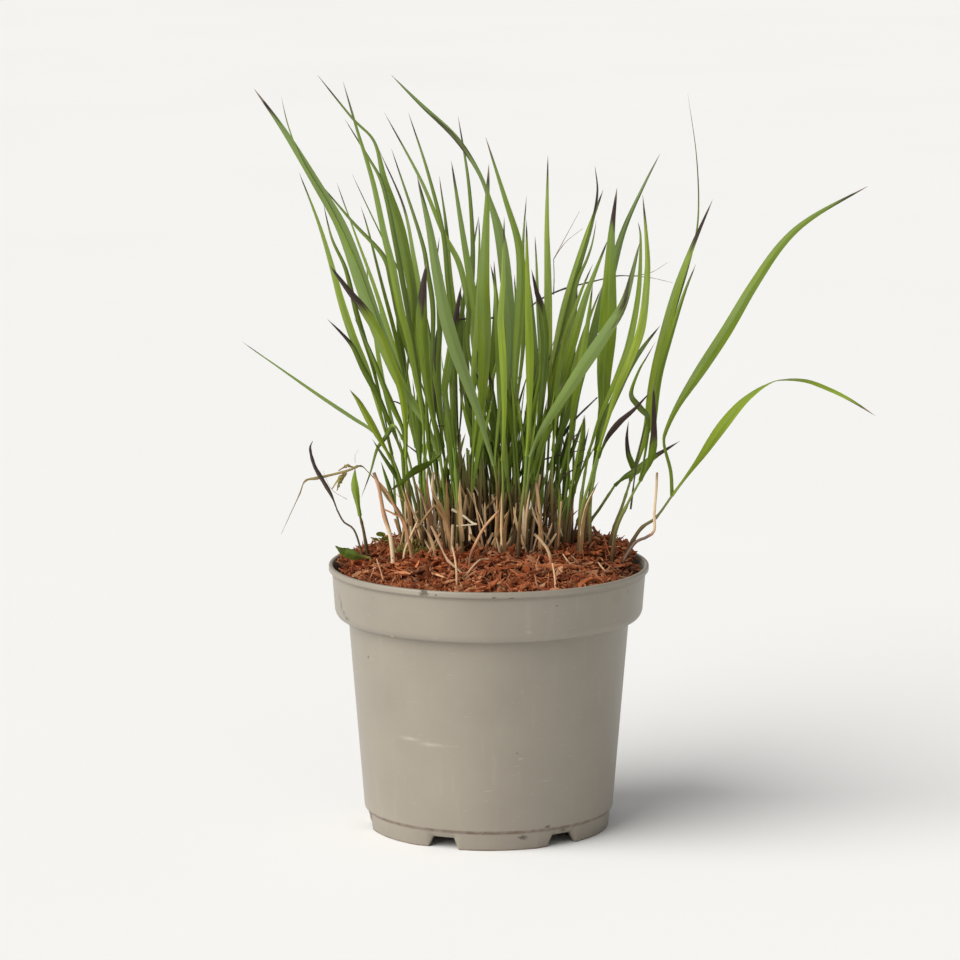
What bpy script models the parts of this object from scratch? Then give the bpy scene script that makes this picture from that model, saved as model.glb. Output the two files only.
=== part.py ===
"""Potted clump of ornamental grass: a nursery pot of compost under bark mulch, and the shoots in it.

Lengths in the tables are millimetres from the middle of the pot's base, +Z up, with the photographed
side at -Y. The model is built in metres, moved so that its box is centred over the origin.
"""
import math

import bmesh
import bpy
import numpy as np
from mathutils import Vector
from mathutils.bvhtree import BVHTree

MM = 0.001
GAP = 0.4
FLATNESS = 0.0001

# Pot: a thin-walled taper with a deep collar, a rolled lip and a notched foot ring
LIP_R = 94.9
POT_H = 157.9
LIP_H = 3.4
COLLAR_TOP_R = 93.0
COLLAR_FOOT_R = 91.2
COLLAR_FOOT_Z = 130.0
BODY_TOP_R = 83.3
BODY_TOP_Z = 126.2
BODY_FOOT_R = 74.2
BODY_FOOT_Z = 12.0
RING_R = 71.5
RING_LINE_Z = 10.4
RING_WALL = 2.3
WALL = 1.4
FLOOR_Z = 7.0
FLOOR = 1.8
POT_SIDES = 42
NOTCHES = 6
NOTCH_TURN = -22.5
NOTCH_TOP = 13.8
NOTCH_FOOT = 20.5
DRAIN_R = 4.0
DRAIN_PLACE_R = 52.0

# Filling
COMPOST_TOP = 150.0
COMPOST_SIDES = 20
MULCH_FOOT = COMPOST_TOP + GAP
MULCH_RINGS = (15, 30, 45, 60, 73, 87.5)
MULCH_SIDES = 28
MULCH_LEVEL = 157.0
MULCH_RISE = 0.045
MOUNDS = (  # middle, height and spread: under the clump, heaped over the rim, and a hollow at the wall
    (8, 18, 7.5, 62), (74, 32, 5.5, 27), (84, -30, -3, 14),
)

# Grass
STEM_SIDES = 5
STEM_FOOT_R = 1.4
STEM_TOP_R = 1.0
BLADE_STEP = 35
BEND_WEIGHT = 40
BLADE_STEPS_LEAST = 3
BLADE_BASE = 0.26
BLADE_SWELL = 1.5
BLADE_TAPER = 0.65
KEEL = 0.17
KEEL_LEAST = 0.55
SIDESTEP = 4
SIDESTEPS = 40
REACH = 93
BREATHING = 0.5

# The pot's axis stands off the origin, because the two long right-hand blades widen the box
POT_AXIS = (-39.0, 0.0)

# The tables give shoots as seen from the front: a place (x, z) is on the upright plane through the
# pot's axis, and a depth moves it along its sight line. The viewer's eye, in the same millimetres:
EYE = np.array((-5.2, -2683.0, 658.0))

# Each shoot: name, (foot x, foot y), depth of the stem's top, seen places up the stem, and its blades.
# Each blade: width; shares of its length where it starts to swell and is widest; roll in degrees at its
# foot and tip; depth of the tip; and seen places from the stem to the tip. A third number at a place
# is the blade's width there as a share of its usual one.
SHOOTS = (
    ("shoot_01", (-71, 19), 17, ((-74, 176), (-76.5, 187)), (
        (5, (0, 0.5), (3, 27), 30, ((-78, 196), (-79.5, 206), (-79, 215))),
    )),
    ("shoot_02", (-50, 32), 34, ((-50, 185), (-54, 206), (-58, 221)), (
        (3.2, (0, 0.5), (33, 57), 60, (
            (-64, 231), (-70, 238), (-80, 244.5), (-100, 258), (-124, 275), (-145, 290),
        )),
        (4.5, (0, 0.5), (3, 27), 15, ((-62, 228), (-66, 235), (-72, 246), (-77, 255), (-82, 261.5))),
    )),
    ("shoot_03", (-44, 39), 41, ((-48, 182), (-52.5, 204), (-57.5, 224)), (
        (5.5, (0, 0.5), (23, 47), 10, (
            (-62, 240), (-71, 271), (-80, 293), (-87, 315), (-93, 338), (-100, 361), (-111, 390),
        )),
        (4, (0, 0.5), (-52, -28), 85, (
            (-61, 243), (-68, 274), (-73, 291), (-78, 308), (-84, 333), (-92, 351), (-97, 372),
        )),
    )),
    ("shoot_04", (-45, 21), 16, ((-46, 188), (-48, 206), (-49, 222)), (
        (6.5, (0, 0.7), (8, 32), -40, (
            (-49, 238), (-52, 262), (-58, 279), (-66, 297), (-74, 310), (-82, 320), (-94, 336),
        )),
        (4, (0, 0.5), (-42, -18), 40, (
            (-51, 238), (-56, 250), (-62, 264), (-68, 280), (-74, 294), (-79, 304),
        )),
    )),
    ("shoot_05", (-39, 32), 38, ((-42, 186), (-46, 202), (-49.5, 217)), (
        (4.5, (0, 0.5), (-42, -18), 30, (
            (-54, 231), (-60, 245), (-67, 261), (-74, 274), (-80, 287), (-87, 295.5), (-95, 303.5),
        )),
        (3.5, (0, 0.5), (28, 52), 80, (
            (-55, 235), (-60, 255), (-64, 275), (-67, 295), (-70, 315), (-72, 340),
        )),
    )),
    ("shoot_06", (-38, 24), 29, ((-41, 190), (-46, 215), (-51, 233)), (
        (3.5, (0, 0.5), (8, 32), 45, ((-56, 240), (-61, 233), (-66, 226), (-70, 212), (-75.5, 197))),
        (2.5, (0, 0.5), (33, 57), 5, (
            (-49, 262), (-47, 285), (-46.5, 308), (-51, 328), (-58, 342), (-64, 355), (-80, 389),
        )),
    )),
    ("shoot_07", (-34, 15), 7, ((-35, 186), (-38, 206), (-38, 224)), (
        (5, (0, 0.5), (13, 37), -15, (
            (-39, 245), (-43, 268), (-47, 290), (-52, 310), (-57, 336), (-61, 352), (-68, 385),
            (-77, 415), (-85, 443),
        )),
        (4, (0, 0.5), (-47, -23), 50, (
            (-39, 250), (-43, 280), (-48, 310), (-55, 350), (-62, 382), (-70, 398), (-84, 421),
        )),
    )),
    ("shoot_08", (-22, 21), 9, ((-23.5, 186), (-26, 204), (-29, 220)), (
        (9, (0, 0.5), (0, 24), -55, (
            (-34, 234), (-40, 246), (-47, 256), (-54, 270), (-60, 284), (-66, 299), (-75, 326),
            (-86, 357), (-100, 382), (-120, 415), (-137, 439),
        )),
        (3.5, (0, 0.5), (33, 57), 20, (
            (-36, 242), (-48, 262), (-60, 286), (-70, 312), (-80, 340), (-94, 370), (-109, 396),
            (-117, 417), (-121, 434),
        )),
    )),
    ("shoot_09", (-28, 32), 26, ((-28, 190), (-31, 210), (-34, 226)), (
        (8, (0, 0.5), (3, 27), -25, (
            (-38, 244), (-41, 262), (-42, 283), (-43, 305), (-47, 332), (-53, 360), (-61, 385, 0.75),
            (-67, 408, 0.45), (-80, 422, 0.65), (-100, 447, 0.8),
        )),
        (4.5, (0, 0.5), (-47, -23), 60, (
            (-37, 246), (-42, 266), (-48, 286), (-53, 305), (-57, 325), (-62, 341), (-80, 361),
            (-100, 385),
        )),
    )),
    ("shoot_10", (-32, 42), 48, ((-32, 192), (-35, 212), (-40, 228)), (
        (3.5, (0, 0.5), (28, 52), 88, (
            (-45, 250), (-52, 275), (-60, 300), (-68, 325), (-77, 350), (-89, 384),
        )),
        (3.5, (0, 0.5), (-57, -33), 70, (
            (-44, 250), (-50, 272), (-56, 298), (-63, 325), (-71, 357), (-75, 370),
        )),
    )),
    ("shoot_11", (-24, 10), 0, ((-25, 186), (-27, 206), (-29, 224)), (
        (7, (0, 0.72), (3, 27), -45, (
            (-32, 240), (-36, 262), (-38, 282), (-39.5, 302), (-38.5, 322), (-36.5, 337),
        )),
        (4, (0, 0.5), (-52, -28), 25, (
            (-32, 245), (-34, 268), (-33, 290), (-33, 312), (-36, 332), (-40, 352), (-57, 404),
        )),
        (5, (0, 0.5), (8, 32), -40, ((-36, 217), (-44, 213), (-52, 206), (-60, 200))),
    )),
    ("shoot_12", (-17, 31), 34, ((-18, 190), (-22, 212), (-25, 232)), (
        (4, (0, 0.5), (28, 52), 75, (
            (-29, 250), (-34, 280), (-39, 310), (-44, 340), (-50, 370), (-64, 403),
        )),
        (3.5, (0, 0.5), (-37, -13), 15, (
            (-28, 252), (-30, 275), (-29, 295), (-30, 320), (-31, 333), (-29, 352),
        )),
    )),
    ("shoot_13", (-14, 3), -1, ((-17, 180), (-19, 205), (-21, 228)), (
        (5.5, (0, 0.7), (8, 32), -35, (
            (-24, 245), (-26, 262), (-23, 280), (-20, 298), (-18, 313), (-16, 324),
        )),
        (4, (0, 0.5), (-52, -28), 35, (
            (-22, 250), (-22, 272), (-21, 295), (-24, 325), (-27, 355), (-36, 391), (-47, 425),
        )),
    )),
    ("shoot_14", (-13, 40), 45, ((-14, 190), (-16.5, 210), (-18, 230)), (
        (4.5, (0, 0.5), (18, 42), 70, (
            (-19, 250), (-20, 275), (-20, 300), (-23, 330), (-25, 358), (-28, 380), (-29, 388),
        )),
        (4, (0, 0.5), (-47, -23), 88, ((-16, 255), (-17, 280), (-16, 305), (-12, 330), (-6, 364))),
    )),
    ("shoot_15", (-6, 31), 29, ((-6.5, 182), (-4.5, 204), (-3, 221), (-2.5, 240)), (
        (5.5, (0, 0.5), (8, 32), 5, (
            (-2.5, 256), (-3, 272), (-5, 290), (-8, 310), (-11, 328), (-15, 352), (-22, 397),
        )),
        (4, (0, 0.5), (-47, -23), 50, (
            (-6, 262), (-12, 285), (-12, 305), (-10, 325), (-9.5, 350), (-12, 385), (-18, 423),
        )),
    )),
    ("shoot_16", (-9, 16), 6, ((-10, 185), (-10, 205), (-9, 225)), (
        (8, (0, 0.5), (-2, 22), -50, (
            (-7, 240), (-4, 258), (-3, 275), (-2.5, 295), (-3, 320), (-2, 350), (0, 395),
        )),
        (4, (0, 0.5), (23, 47), 25, (
            (-9, 250), (-9, 275), (-7, 300), (-6, 330), (-5.5, 350), (-6, 364),
        )),
    )),
    ("shoot_17", (1, 35), 41, ((-1, 190), (-1.5, 212), (-2, 236)), (
        (4.5, (0, 0.5), (23, 47), 78, (
            (-4, 256), (-8, 280), (-11, 306), (-17, 335), (-27, 355), (-40, 386), (-61, 425),
        )),
        (4.5, (0, 0.5), (-42, -18), 90, ((1, 262), (3, 290), (4, 315), (3, 338))),
    )),
    ("shoot_18", (4, 8), -5, ((5, 185), (5, 203), (3, 217)), (
        (8, (0, 0.5), (0, 24), -70, (
            (-1, 230), (-6, 247), (-12, 264), (-18, 280), (-23, 296), (-27, 312), (-31, 334),
            (-35, 358), (-42, 388),
        )),
        (5, (0, 0.5), (-37, -13), 15, ((5, 235), (7, 255), (6, 280), (5, 300), (4, 320), (1, 336))),
    )),
    ("shoot_19", (11, 24), 22, ((12, 188), (12, 208), (10, 228)), (
        (6.5, (0, 0.35), (3, 27), 35, (
            (11, 248), (12, 268), (13, 292), (11, 318, 1.15), (7, 350, 1.2), (0, 375, 0.6), (-7, 392, 0.62),
            (-20, 411, 1.1), (-40, 430, 1.35), (-57, 447, 1.2),
        )),
    )),
    ("shoot_20", (9, -1), -15, ((8, 178), (8.5, 200), (8, 220)), (
        (5, (0, 0.5), (18, 42), -60, ((9, 240), (9, 262), (8, 285), (7, 305), (8.5, 330), (9, 364))),
    )),
    ("shoot_21", (16, 15), 11, ((15.5, 186), (15.5, 208), (14.5, 232)), (
        (6, (0, 0.5), (8, 32), -15, (
            (15, 255), (16, 280), (18, 305), (19, 330), (17, 350), (10, 373), (-2, 411),
        )),
        (3.5, (0, 0.5), (-47, -23), 60, ((17, 258), (20, 285), (21, 315), (20, 345), (22, 376))),
    )),
    ("shoot_22", (17.5, -6), -13, ((18, 178), (20.5, 200), (22.3, 223)), (
        (5, (0, 0.5), (3, 27), -35, (
            (23.5, 240), (24, 260), (24, 285), (23.2, 310), (22.5, 335), (22, 362),
        )),
    )),
    ("shoot_23", (21, 5), -5, ((21.5, 185), (23, 205), (24.5, 222)), (
        (8.5, (0, 0.5), (-2, 22), -85, (
            (29, 233), (36, 245), (45, 259), (58, 279), (70, 297), (80, 315), (88.5, 349),
        )),
    )),
    ("shoot_24", (26, 19), 17, ((26, 188), (27, 208), (28, 230)), (
        (5.5, (0, 0.65), (3, 27), 0, ((30, 248), (32, 268), (33, 290), (31, 310), (28, 320), (25, 333))),
        (4, (0, 0.5), (18, 42), 70, ((30, 255), (31, 280), (29, 310), (28, 335), (27, 353))),
    )),
    ("shoot_25", (33, 29), 33, ((33, 190), (34.5, 212), (35.5, 234)), (
        (5, (0, 0.5), (8, 32), 50, (
            (36, 256), (35.5, 280), (35, 305), (34.5, 335), (34, 360), (34.5, 400),
        )),
    )),
    ("shoot_26", (28, 37), 46, ((29.5, 190), (32, 214), (34, 240)), (
        (6.5, (0, 0.5), (8, 32), 88, (
            (37, 262), (40, 285), (45, 309), (51, 332), (58, 355), (67, 380),
        )),
        (3.5, (0, 0.5), (-52, -28), 70, (
            (36, 265), (43, 295), (52, 330), (60, 358), (63.5, 378), (62, 394),
        )),
    )),
    ("shoot_27", (38, 15), 7, ((37.5, 188), (37.5, 208), (38, 226)), (
        (4, (0, 0.5), (8, 32), 0, ((39, 244), (40, 262), (41.5, 278), (42.5, 292))),
        (4, (0, 0.5), (-47, -23), -45, (
            (40, 248), (41, 270), (45, 293), (50, 308), (55, 322), (61, 336),
        )),
    )),
    ("shoot_28", (43, 31), 33, ((42, 190), (41, 212), (40, 236)), (
        (6, (0, 0.5), (8, 32), 35, ((41, 256), (45, 275), (51, 296), (57, 317), (63, 333), (70, 351))),
        (3, (0, 0.5), (-47, -23), 80, (
            (42, 262), (46, 290), (51, 322), (58, 340), (61, 350), (63, 362),
        )),
    )),
    ("shoot_29", (46, 19), 14, ((45, 190), (46.5, 210), (47.5, 230)), (
        (5, (0, 0.5), (8, 32), -10, ((50, 252), (54, 276), (58, 300), (61, 324))),
    )),
    ("shoot_30", (50, 35), 41, ((49, 190), (50, 212), (50, 238)), (
        (6.5, (0, 0.5), (-32, -8), 65, (
            (53, 260), (58, 282), (64, 304), (71, 328), (79, 356, 0.75), (90, 381, 0.62), (100, 401, 0.7),
        )),
    )),
    ("shoot_31", (54, 15), 14, ((54, 188), (56, 206), (59, 224)), (
        (4.5, (0, 0.5), (18, 42), 30, (
            (64, 241), (70, 256), (77, 273), (83, 291), (88, 320), (89, 350), (87.5, 361),
        )),
    )),
    ("shoot_32", (57, 24), 24, ((58, 188), (60, 202), (62.5, 216)), (
        (9, (0, 0.5), (0, 24), 15, (
            (65, 232), (67.5, 252), (68, 272, 1.1), (70, 300, 1.25), (71, 330, 1.15), (72, 355), (75, 381),
        )),
    )),
    ("shoot_33", (53, 3), -3, ((55, 188), (60, 207), (65, 226)), (
        (5.5, (0, 0.5), (8, 32), -40, (
            (70, 243), (75, 260), (83, 279), (90, 300), (93, 330), (92.5, 350), (90, 377),
        )),
    )),
    ("shoot_34", (61, 16), 14, ((60, 190), (62, 208), (65, 222)), (
        (4, (0, 0.5), (13, 37), -60, ((70, 233), (77, 242), (86, 250), (96, 261))),
        (5, (0, 0.5), (-37, -13), 50, ((68, 240), (74, 256), (82, 273), (91, 287), (101, 300))),
    )),
    ("shoot_35", (56, 32), 26, ((58, 178), (66, 191), (75, 205)), (
        (5, (0, 0.5), (8, 32), 20, ((80, 209), (87, 213), (97, 221), (105, 226), (113, 231))),
    )),
    ("shoot_36", (70, 23), 28, ((74, 178), (79, 192), (84, 208)), (
        (7.5, (0, 0.42), (8, 32), 65, (
            (89, 223), (94, 241), (97, 262), (102, 288), (110, 320), (120, 348), (131, 374),
        )),
        (1.8, (0, 0.4), (18, 42), 90, (
            (91, 232), (98, 262), (107, 300), (117, 335), (122.5, 362), (121.5, 398), (116, 436),
        )),
        (4, (0, 0.5), (8, 32), -15, ((85.5, 214), (82.5, 223), (81.5, 233), (82.5, 243))),
    )),
    ("shoot_37", (73, 8), -1, ((75, 176), (82, 193), (90, 208)), (
        (5, (0, 0.5), (8, 32), -35, ((95, 218), (97.3, 230), (97.5, 245), (97, 265))),
        (4.5, (0, 0.5), (-32, -8), 25, (
            (96, 226), (97.5, 245), (100, 268), (106.5, 292), (114.5, 318), (121.5, 336),
        )),
        (4, (0, 0.5), (13, 37), -70, (
            (93, 228), (94, 244), (89, 251), (84, 259), (88, 272), (93, 281), (98, 290),
        )),
    )),
    ("shoot_38", (77, 15), 6, ((89, 177), (99, 185), (109, 199)), (
        (7, (0.05, 0.28), (-35, 190), -50, (
            (117, 210), (125, 221), (138, 240), (152, 256), (168, 266), (185, 267), (200, 262),
            (214, 255), (228, 246),
        )),
        (8, (0.17, 0.44), (3, 27), 50, (
            (107.5, 213), (103.5, 229, 0.8), (105, 238, 0.6), (112, 253, 0.6), (124, 272, 0.85),
            (140, 297), (155, 323), (172, 348), (190, 364), (222, 382),
        )),
    )),
    ("shoot_39", (-37, 48), 56, ((-37, 192), (-40, 210), (-43, 228)), (
        (6, (0, 0.5), (18, 42), 92, ((-48, 250), (-55, 275), (-61, 298), (-66, 318))),
        (5, (0, 0.5), (-42, -18), 84, ((-46, 250), (-50, 275), (-53, 300), (-54, 322))),
    )),
    ("shoot_40", (-22, 47), 56, ((-23, 192), (-25, 210), (-27, 228)), (
        (6, (0, 0.5), (-37, -13), 91, ((-30, 250), (-34, 275), (-37, 300), (-42, 325))),
        (5, (0, 0.5), (23, 47), 80, ((-29, 252), (-30, 278), (-28, 305), (-27, 330))),
    )),
    ("shoot_41", (-7, 47), 56, ((-8, 192), (-9, 210), (-10, 228)), (
        (6, (0, 0.5), (13, 37), 92, ((-12, 250), (-14, 275), (-15, 300), (-17, 322))),
        (5, (0, 0.5), (-47, -23), 84, ((-10, 252), (-8, 278), (-8, 305), (-7, 328))),
    )),
    ("shoot_42", (9, 45), 55, ((8, 192), (8, 210), (9, 228)), (
        (6, (0, 0.5), (-37, -13), 91, ((10, 250), (11, 275), (10, 300), (9, 325))),
        (5, (0, 0.5), (23, 47), 82, ((11, 252), (14, 278), (16, 305), (15, 330))),
    )),
    ("shoot_43", (24, 48), 58, ((23, 192), (23, 210), (24, 228)), (
        (6, (0, 0.5), (13, 37), 92, ((26, 250), (27, 275), (26, 300), (24, 326))),
        (5, (0, 0.5), (-47, -23), 84, ((27, 252), (31, 278), (34, 300), (36, 322))),
    )),
    ("shoot_44", (40, 43), 53, ((39, 192), (40, 210), (42, 228)), (
        (6, (0, 0.5), (-37, -13), 91, ((44, 250), (48, 275), (50, 300), (52, 322))),
        (5, (0, 0.5), (23, 47), 80, ((46, 252), (51, 275), (57, 298), (66, 322))),
    )),
    ("shoot_45", (60, 40), 48, ((59, 190), (61, 208), (63, 226)), (
        (6, (0, 0.5), (13, 37), 90, ((66, 246), (69, 268), (71, 292), (73, 316))),
    )),
)

# Dead stems and leaves, in the same form; the last number of a dead stem's row is its foot's radius
STRAWS = (
    ("straw_01", (-56, -10), -8, ((-58, 172), (-62, 186), (-65, 203), (-68, 212)), 1.7),
    ("straw_02", (-51, -2), 2, ((-50, 164), (-47, 172), (-42, 183)), 1.0),
    ("straw_03", (-20, 8), -4, ((-24, 180), (-28, 191), (-33, 201), (-33, 212)), 1.8),
    ("straw_04", (-12, -30), -26, ((-11, 161), (-7, 171), (-2, 180), (6, 189)), 1.2),
    ("straw_05", (-19, -60), -50, ((-19, 150), (-20, 160), (-22, 169)), 0.9),
    ("straw_06", (31, 4), 2, ((31, 175), (30, 190), (28, 206)), 2.2),
    ("straw_07", (38, -20), -22, ((36, 163), (31, 171), (27, 175)), 1.3),
    ("straw_08", (76, 4), 0, ((86, 169), (93, 173), (98, 177), (98, 187), (99, 200), (99.5, 212)), 1.2),
)
DEAD_LEAVES = (
    ("dead_leaf_01", (-73, 8), 0, ((-79, 176), (-86, 182.5), (-90, 190)), (
        (2.6, (0, 0.3), (3, 27), -12, ((-93, 198), (-98, 207), (-103, 216), (-105.5, 226), (-104, 231))),
    )),
    ("dead_leaf_02", (-45, 14), 10, ((-51, 184), (-60, 197), (-66, 207)), (
        (1.8, (0, 0.5), (13, 37), -10, (
            (-71, 212), (-76, 216), (-84, 213), (-100, 209), (-108.5, 207), (-112, 199), (-118, 186),
            (-123, 175),
        )),
    )),
)
WEED = ("weed_leaf", (-68, -6), -6, ((-70, 160), (-73, 161)), (
    (6, (0, 0.5), (-12, 12), -12, ((-77, 161.5), (-82, 163), (-87, 165), (-91, 168))),
))

# Colours, linear RGB
TAUPE = (0.34, 0.30, 0.25)
SOIL = (0.03, 0.02, 0.015)
BARK = (0.26, 0.10, 0.05)
GREEN = (0.11, 0.19, 0.03)
STRAW = (0.55, 0.42, 0.25)
DRY = (0.12, 0.09, 0.07)


def material(name, colour, roughness):
    mat = bpy.data.materials.new(name)
    mat.use_nodes = True
    shader = mat.node_tree.nodes["Principled BSDF"]
    shader.inputs["Base Color"].default_value = (*colour, 1)
    shader.inputs["Roughness"].default_value = roughness
    shader.inputs["Metallic"].default_value = 0
    return mat


def solid(name, points, faces):
    """A new object from points in millimetres about the pot's axis, with its faces turned outwards."""
    mesh = bpy.data.meshes.new(name)
    place = (np.asarray(points, float) + (*POT_AXIS, 0)) * MM
    mesh.from_pydata(place.tolist(), [], faces)
    bm = bmesh.new()
    bm.from_mesh(mesh)
    bmesh.ops.connect_verts_nonplanar(bm, angle_limit=FLATNESS, faces=bm.faces)
    bmesh.ops.recalc_face_normals(bm, faces=bm.faces)
    bm.to_mesh(mesh)
    bm.free()
    body = bpy.data.objects.new(name, mesh)
    bpy.context.scene.collection.objects.link(body)
    return body


def combine(body, tools, operation):
    """Joins the tools to the body, or cuts them from it, and removes them."""
    for tool in tools:
        step = body.modifiers.new(operation, "BOOLEAN")
        step.operation = operation
        step.solver = "EXACT"
        step.object = tool
    bpy.context.view_layer.update()
    done = bpy.data.meshes.new_from_object(body.evaluated_get(bpy.context.evaluated_depsgraph_get()))
    body.modifiers.clear()
    body.data = done
    for tool in tools:
        bpy.data.objects.remove(tool)


def finish(body, colour, roughness, sharp_angle=None):
    body.data.materials.clear()
    body.data.materials.append(material(body.name, colour, roughness))
    if sharp_angle:
        body.data.shade_smooth()
        body.data.set_sharp_from_angle(angle=math.radians(sharp_angle))


def lathe(profile, sides):
    """Points and faces of a profile (r, z) turned about Z; a radius of 0 is a pole."""
    points = []
    rows = []
    for r, z in profile:
        turns = 1 if r == 0 else sides
        rows.append([len(points) + i for i in range(turns)])
        angles = np.arange(turns) * 2 * math.pi / sides
        points += [(r * math.cos(a), r * math.sin(a), z) for a in angles]
    faces = []
    for low, high in zip(rows, rows[1:]):
        for i in range(sides):
            j = (i + 1) % sides
            corners = [low[i % len(low)], low[j % len(low)], high[j % len(high)], high[i % len(high)]]
            faces.append(list(dict.fromkeys(corners)))
    return points, faces


def prism(lower, upper):
    """Points and faces of a solid between two outlines with the same number of corners."""
    count = len(lower)
    sides = [(i, (i + 1) % count, count + (i + 1) % count, count + i) for i in range(count)]
    ends = [tuple(range(count)), tuple(range(count, 2 * count))]
    return list(lower) + list(upper), sides + ends


def pot_profile():
    """Outline of the pot's wall, from the middle of its floor's underside round to its upper side."""
    ring_inside = RING_R - RING_WALL
    outside = [
        (0, FLOOR_Z),
        (ring_inside, FLOOR_Z),
        (ring_inside, 0),
        (RING_R, 0),
        (RING_R + 1.3, RING_LINE_Z),
        (BODY_FOOT_R, BODY_FOOT_Z),
        (BODY_TOP_R, BODY_TOP_Z),
        (COLLAR_FOOT_R - 1.9, COLLAR_FOOT_Z - 3.4),
        (COLLAR_FOOT_R, COLLAR_FOOT_Z),
        (COLLAR_TOP_R, POT_H - LIP_H - 0.8),
        (LIP_R, POT_H - LIP_H),
        (LIP_R, POT_H - 1),
        (LIP_R - 1.2, POT_H),
    ]
    inside = [
        (COLLAR_TOP_R - 0.6, POT_H - 0.6),
        (COLLAR_TOP_R - WALL, POT_H - 5.2),
        (COLLAR_FOOT_R - WALL, COLLAR_FOOT_Z + 0.2),
        (BODY_TOP_R + 1.6, BODY_TOP_Z + 2.2),
        (BODY_TOP_R - WALL, BODY_TOP_Z - 0.8),
        (BODY_FOOT_R - WALL, BODY_FOOT_Z + 1.5),
        (BODY_FOOT_R - 3.4, FLOOR_Z + FLOOR),
        (0, FLOOR_Z + FLOOR),
    ]
    return outside + inside


def pot_cutters():
    """Wedges for the notches of the foot ring, and rods for the drain holes between them."""
    cutters = []
    inner = RING_R - 3 * RING_WALL
    outer = RING_R + 2 * RING_WALL
    for i in range(NOTCHES):
        front = math.radians(-90 + NOTCH_TURN + i * 360 / NOTCHES)
        out = np.array((math.cos(front), math.sin(front), 0))
        along = np.array((-out[1], out[0], 0))
        up = np.array((0, 0, 1))
        section = ((-NOTCH_FOOT / 2, -1), (NOTCH_FOOT / 2, -1), (NOTCH_TOP / 2, FLOOR_Z - 0.2),
                   (-NOTCH_TOP / 2, FLOOR_Z - 0.2))
        near = [out * inner + along * s + up * z for s, z in section]
        far = [out * outer + along * s + up * z for s, z in section]
        cutters.append(solid("notch", *prism(near, far)))
        turn = front + math.pi / NOTCHES
        middle = np.array((math.cos(turn), math.sin(turn), 0)) * DRAIN_PLACE_R
        corners = np.arange(8) * math.pi / 4
        rim = [middle + (DRAIN_R * math.cos(a), DRAIN_R * math.sin(a), 0) for a in corners]
        cutters.append(solid("drain", *prism([p + up for p in rim], [p + up * 15 for p in rim])))
    return cutters


def compost_profile():
    """The filling's outline: the pot's inner wall, set in by a gap, up to a level top."""
    return [
        (0, FLOOR_Z + FLOOR + GAP),
        (BODY_FOOT_R - 4.2, FLOOR_Z + FLOOR + GAP),
        (BODY_FOOT_R - WALL - 0.6, BODY_FOOT_Z + 2.4),
        (BODY_TOP_R - WALL - 0.7, BODY_TOP_Z - 0.9),
        (BODY_TOP_R + 0.9, BODY_TOP_Z + 3),
        (COLLAR_FOOT_R - WALL - 0.9, COLLAR_FOOT_Z + 1),
        (COLLAR_TOP_R - WALL - 1, COMPOST_TOP),
        (0, COMPOST_TOP),
    ]


def mulch_height(x, y):
    """Top of the mulch: higher at the back, mounded in places, with lumps of a chip's size."""
    mounds = sum(h * math.exp(-((x - mx) ** 2 + (y - my) ** 2) / s ** 2) for mx, my, h, s in MOUNDS)
    lumps = 1.1 * math.sin(0.31 * x + 1.3) * math.cos(0.27 * y) + 0.9 * math.sin(0.43 * y - 0.22 * x)
    return MULCH_LEVEL + MULCH_RISE * y + mounds + lumps


def mulch_points():
    """Points and faces of the mulch: lumpy rings round the middle, an uneven edge and a flat underside."""
    points = [(0, 0, mulch_height(0, 0))]
    for k, ring in enumerate(MULCH_RINGS):
        for i in range(MULCH_SIDES):
            angle = 2 * math.pi * (i + 0.5 * (k % 2)) / MULCH_SIDES
            uneven = 1.5 * math.sin(5 * angle + k) + 0.8 * math.sin(11 * angle)
            r = ring + uneven * min(1, ring / 60)
            x, y = r * math.cos(angle), r * math.sin(angle)
            points.append((x, y, mulch_height(x, y)))
    last = len(points) - MULCH_SIDES
    points += [(x * 1.01, y * 1.01, MULCH_FOOT) for x, y, z in points[last:]]
    faces = [(0, 1 + i, 1 + (i + 1) % MULCH_SIDES) for i in range(MULCH_SIDES)]
    for k in range(len(MULCH_RINGS)):
        low = 1 + k * MULCH_SIDES
        high = low + MULCH_SIDES
        for i in range(MULCH_SIDES):
            j = (i + 1) % MULCH_SIDES
            faces.append((low + i, high + i, high + j, low + j))
    faces.append(tuple(len(points) - 1 - i for i in range(MULCH_SIDES)))
    return points, faces


def behind(x, z, depth):
    """The point at a depth behind the pot's axis that is seen at (x, z)."""
    on_plane = np.array((x, 0, z))
    return EYE + (on_plane - EYE) * (1 + depth / -EYE[1])


def smooth_path(points):
    """Points along a Catmull-Rom curve through the given ones, closer together where it bends."""
    p = np.array(points, float)
    p = np.vstack((2 * p[0] - p[1], p, 2 * p[-1] - p[-2]))
    t = np.linspace(0, 1, 12, endpoint=False)[:, None]
    spans = [
        0.5 * (2 * b + (c - a) * t + (2 * a - 5 * b + 4 * c - d) * t ** 2 + (3 * b - a - 3 * c + d) * t ** 3)
        for a, b, c, d in zip(p, p[1:], p[2:], p[3:])
    ]
    fine = np.vstack(spans + [p[-2]])
    moves = np.diff(fine, axis=0)
    heading = np.unwrap(np.arctan2(moves[:, 1], moves[:, 0]))
    bend = np.abs(np.diff(heading, prepend=heading[0]))
    run = np.concatenate(([0], np.cumsum(np.linalg.norm(moves, axis=1) + BEND_WEIGHT * bend)))
    steps = max(BLADE_STEPS_LEAST, round(run[-1] / BLADE_STEP))
    even = np.linspace(0, run[-1], steps + 1)
    return np.stack([np.interp(even, run, fine[:, k]) for k in range(fine.shape[1])], axis=1)


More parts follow.
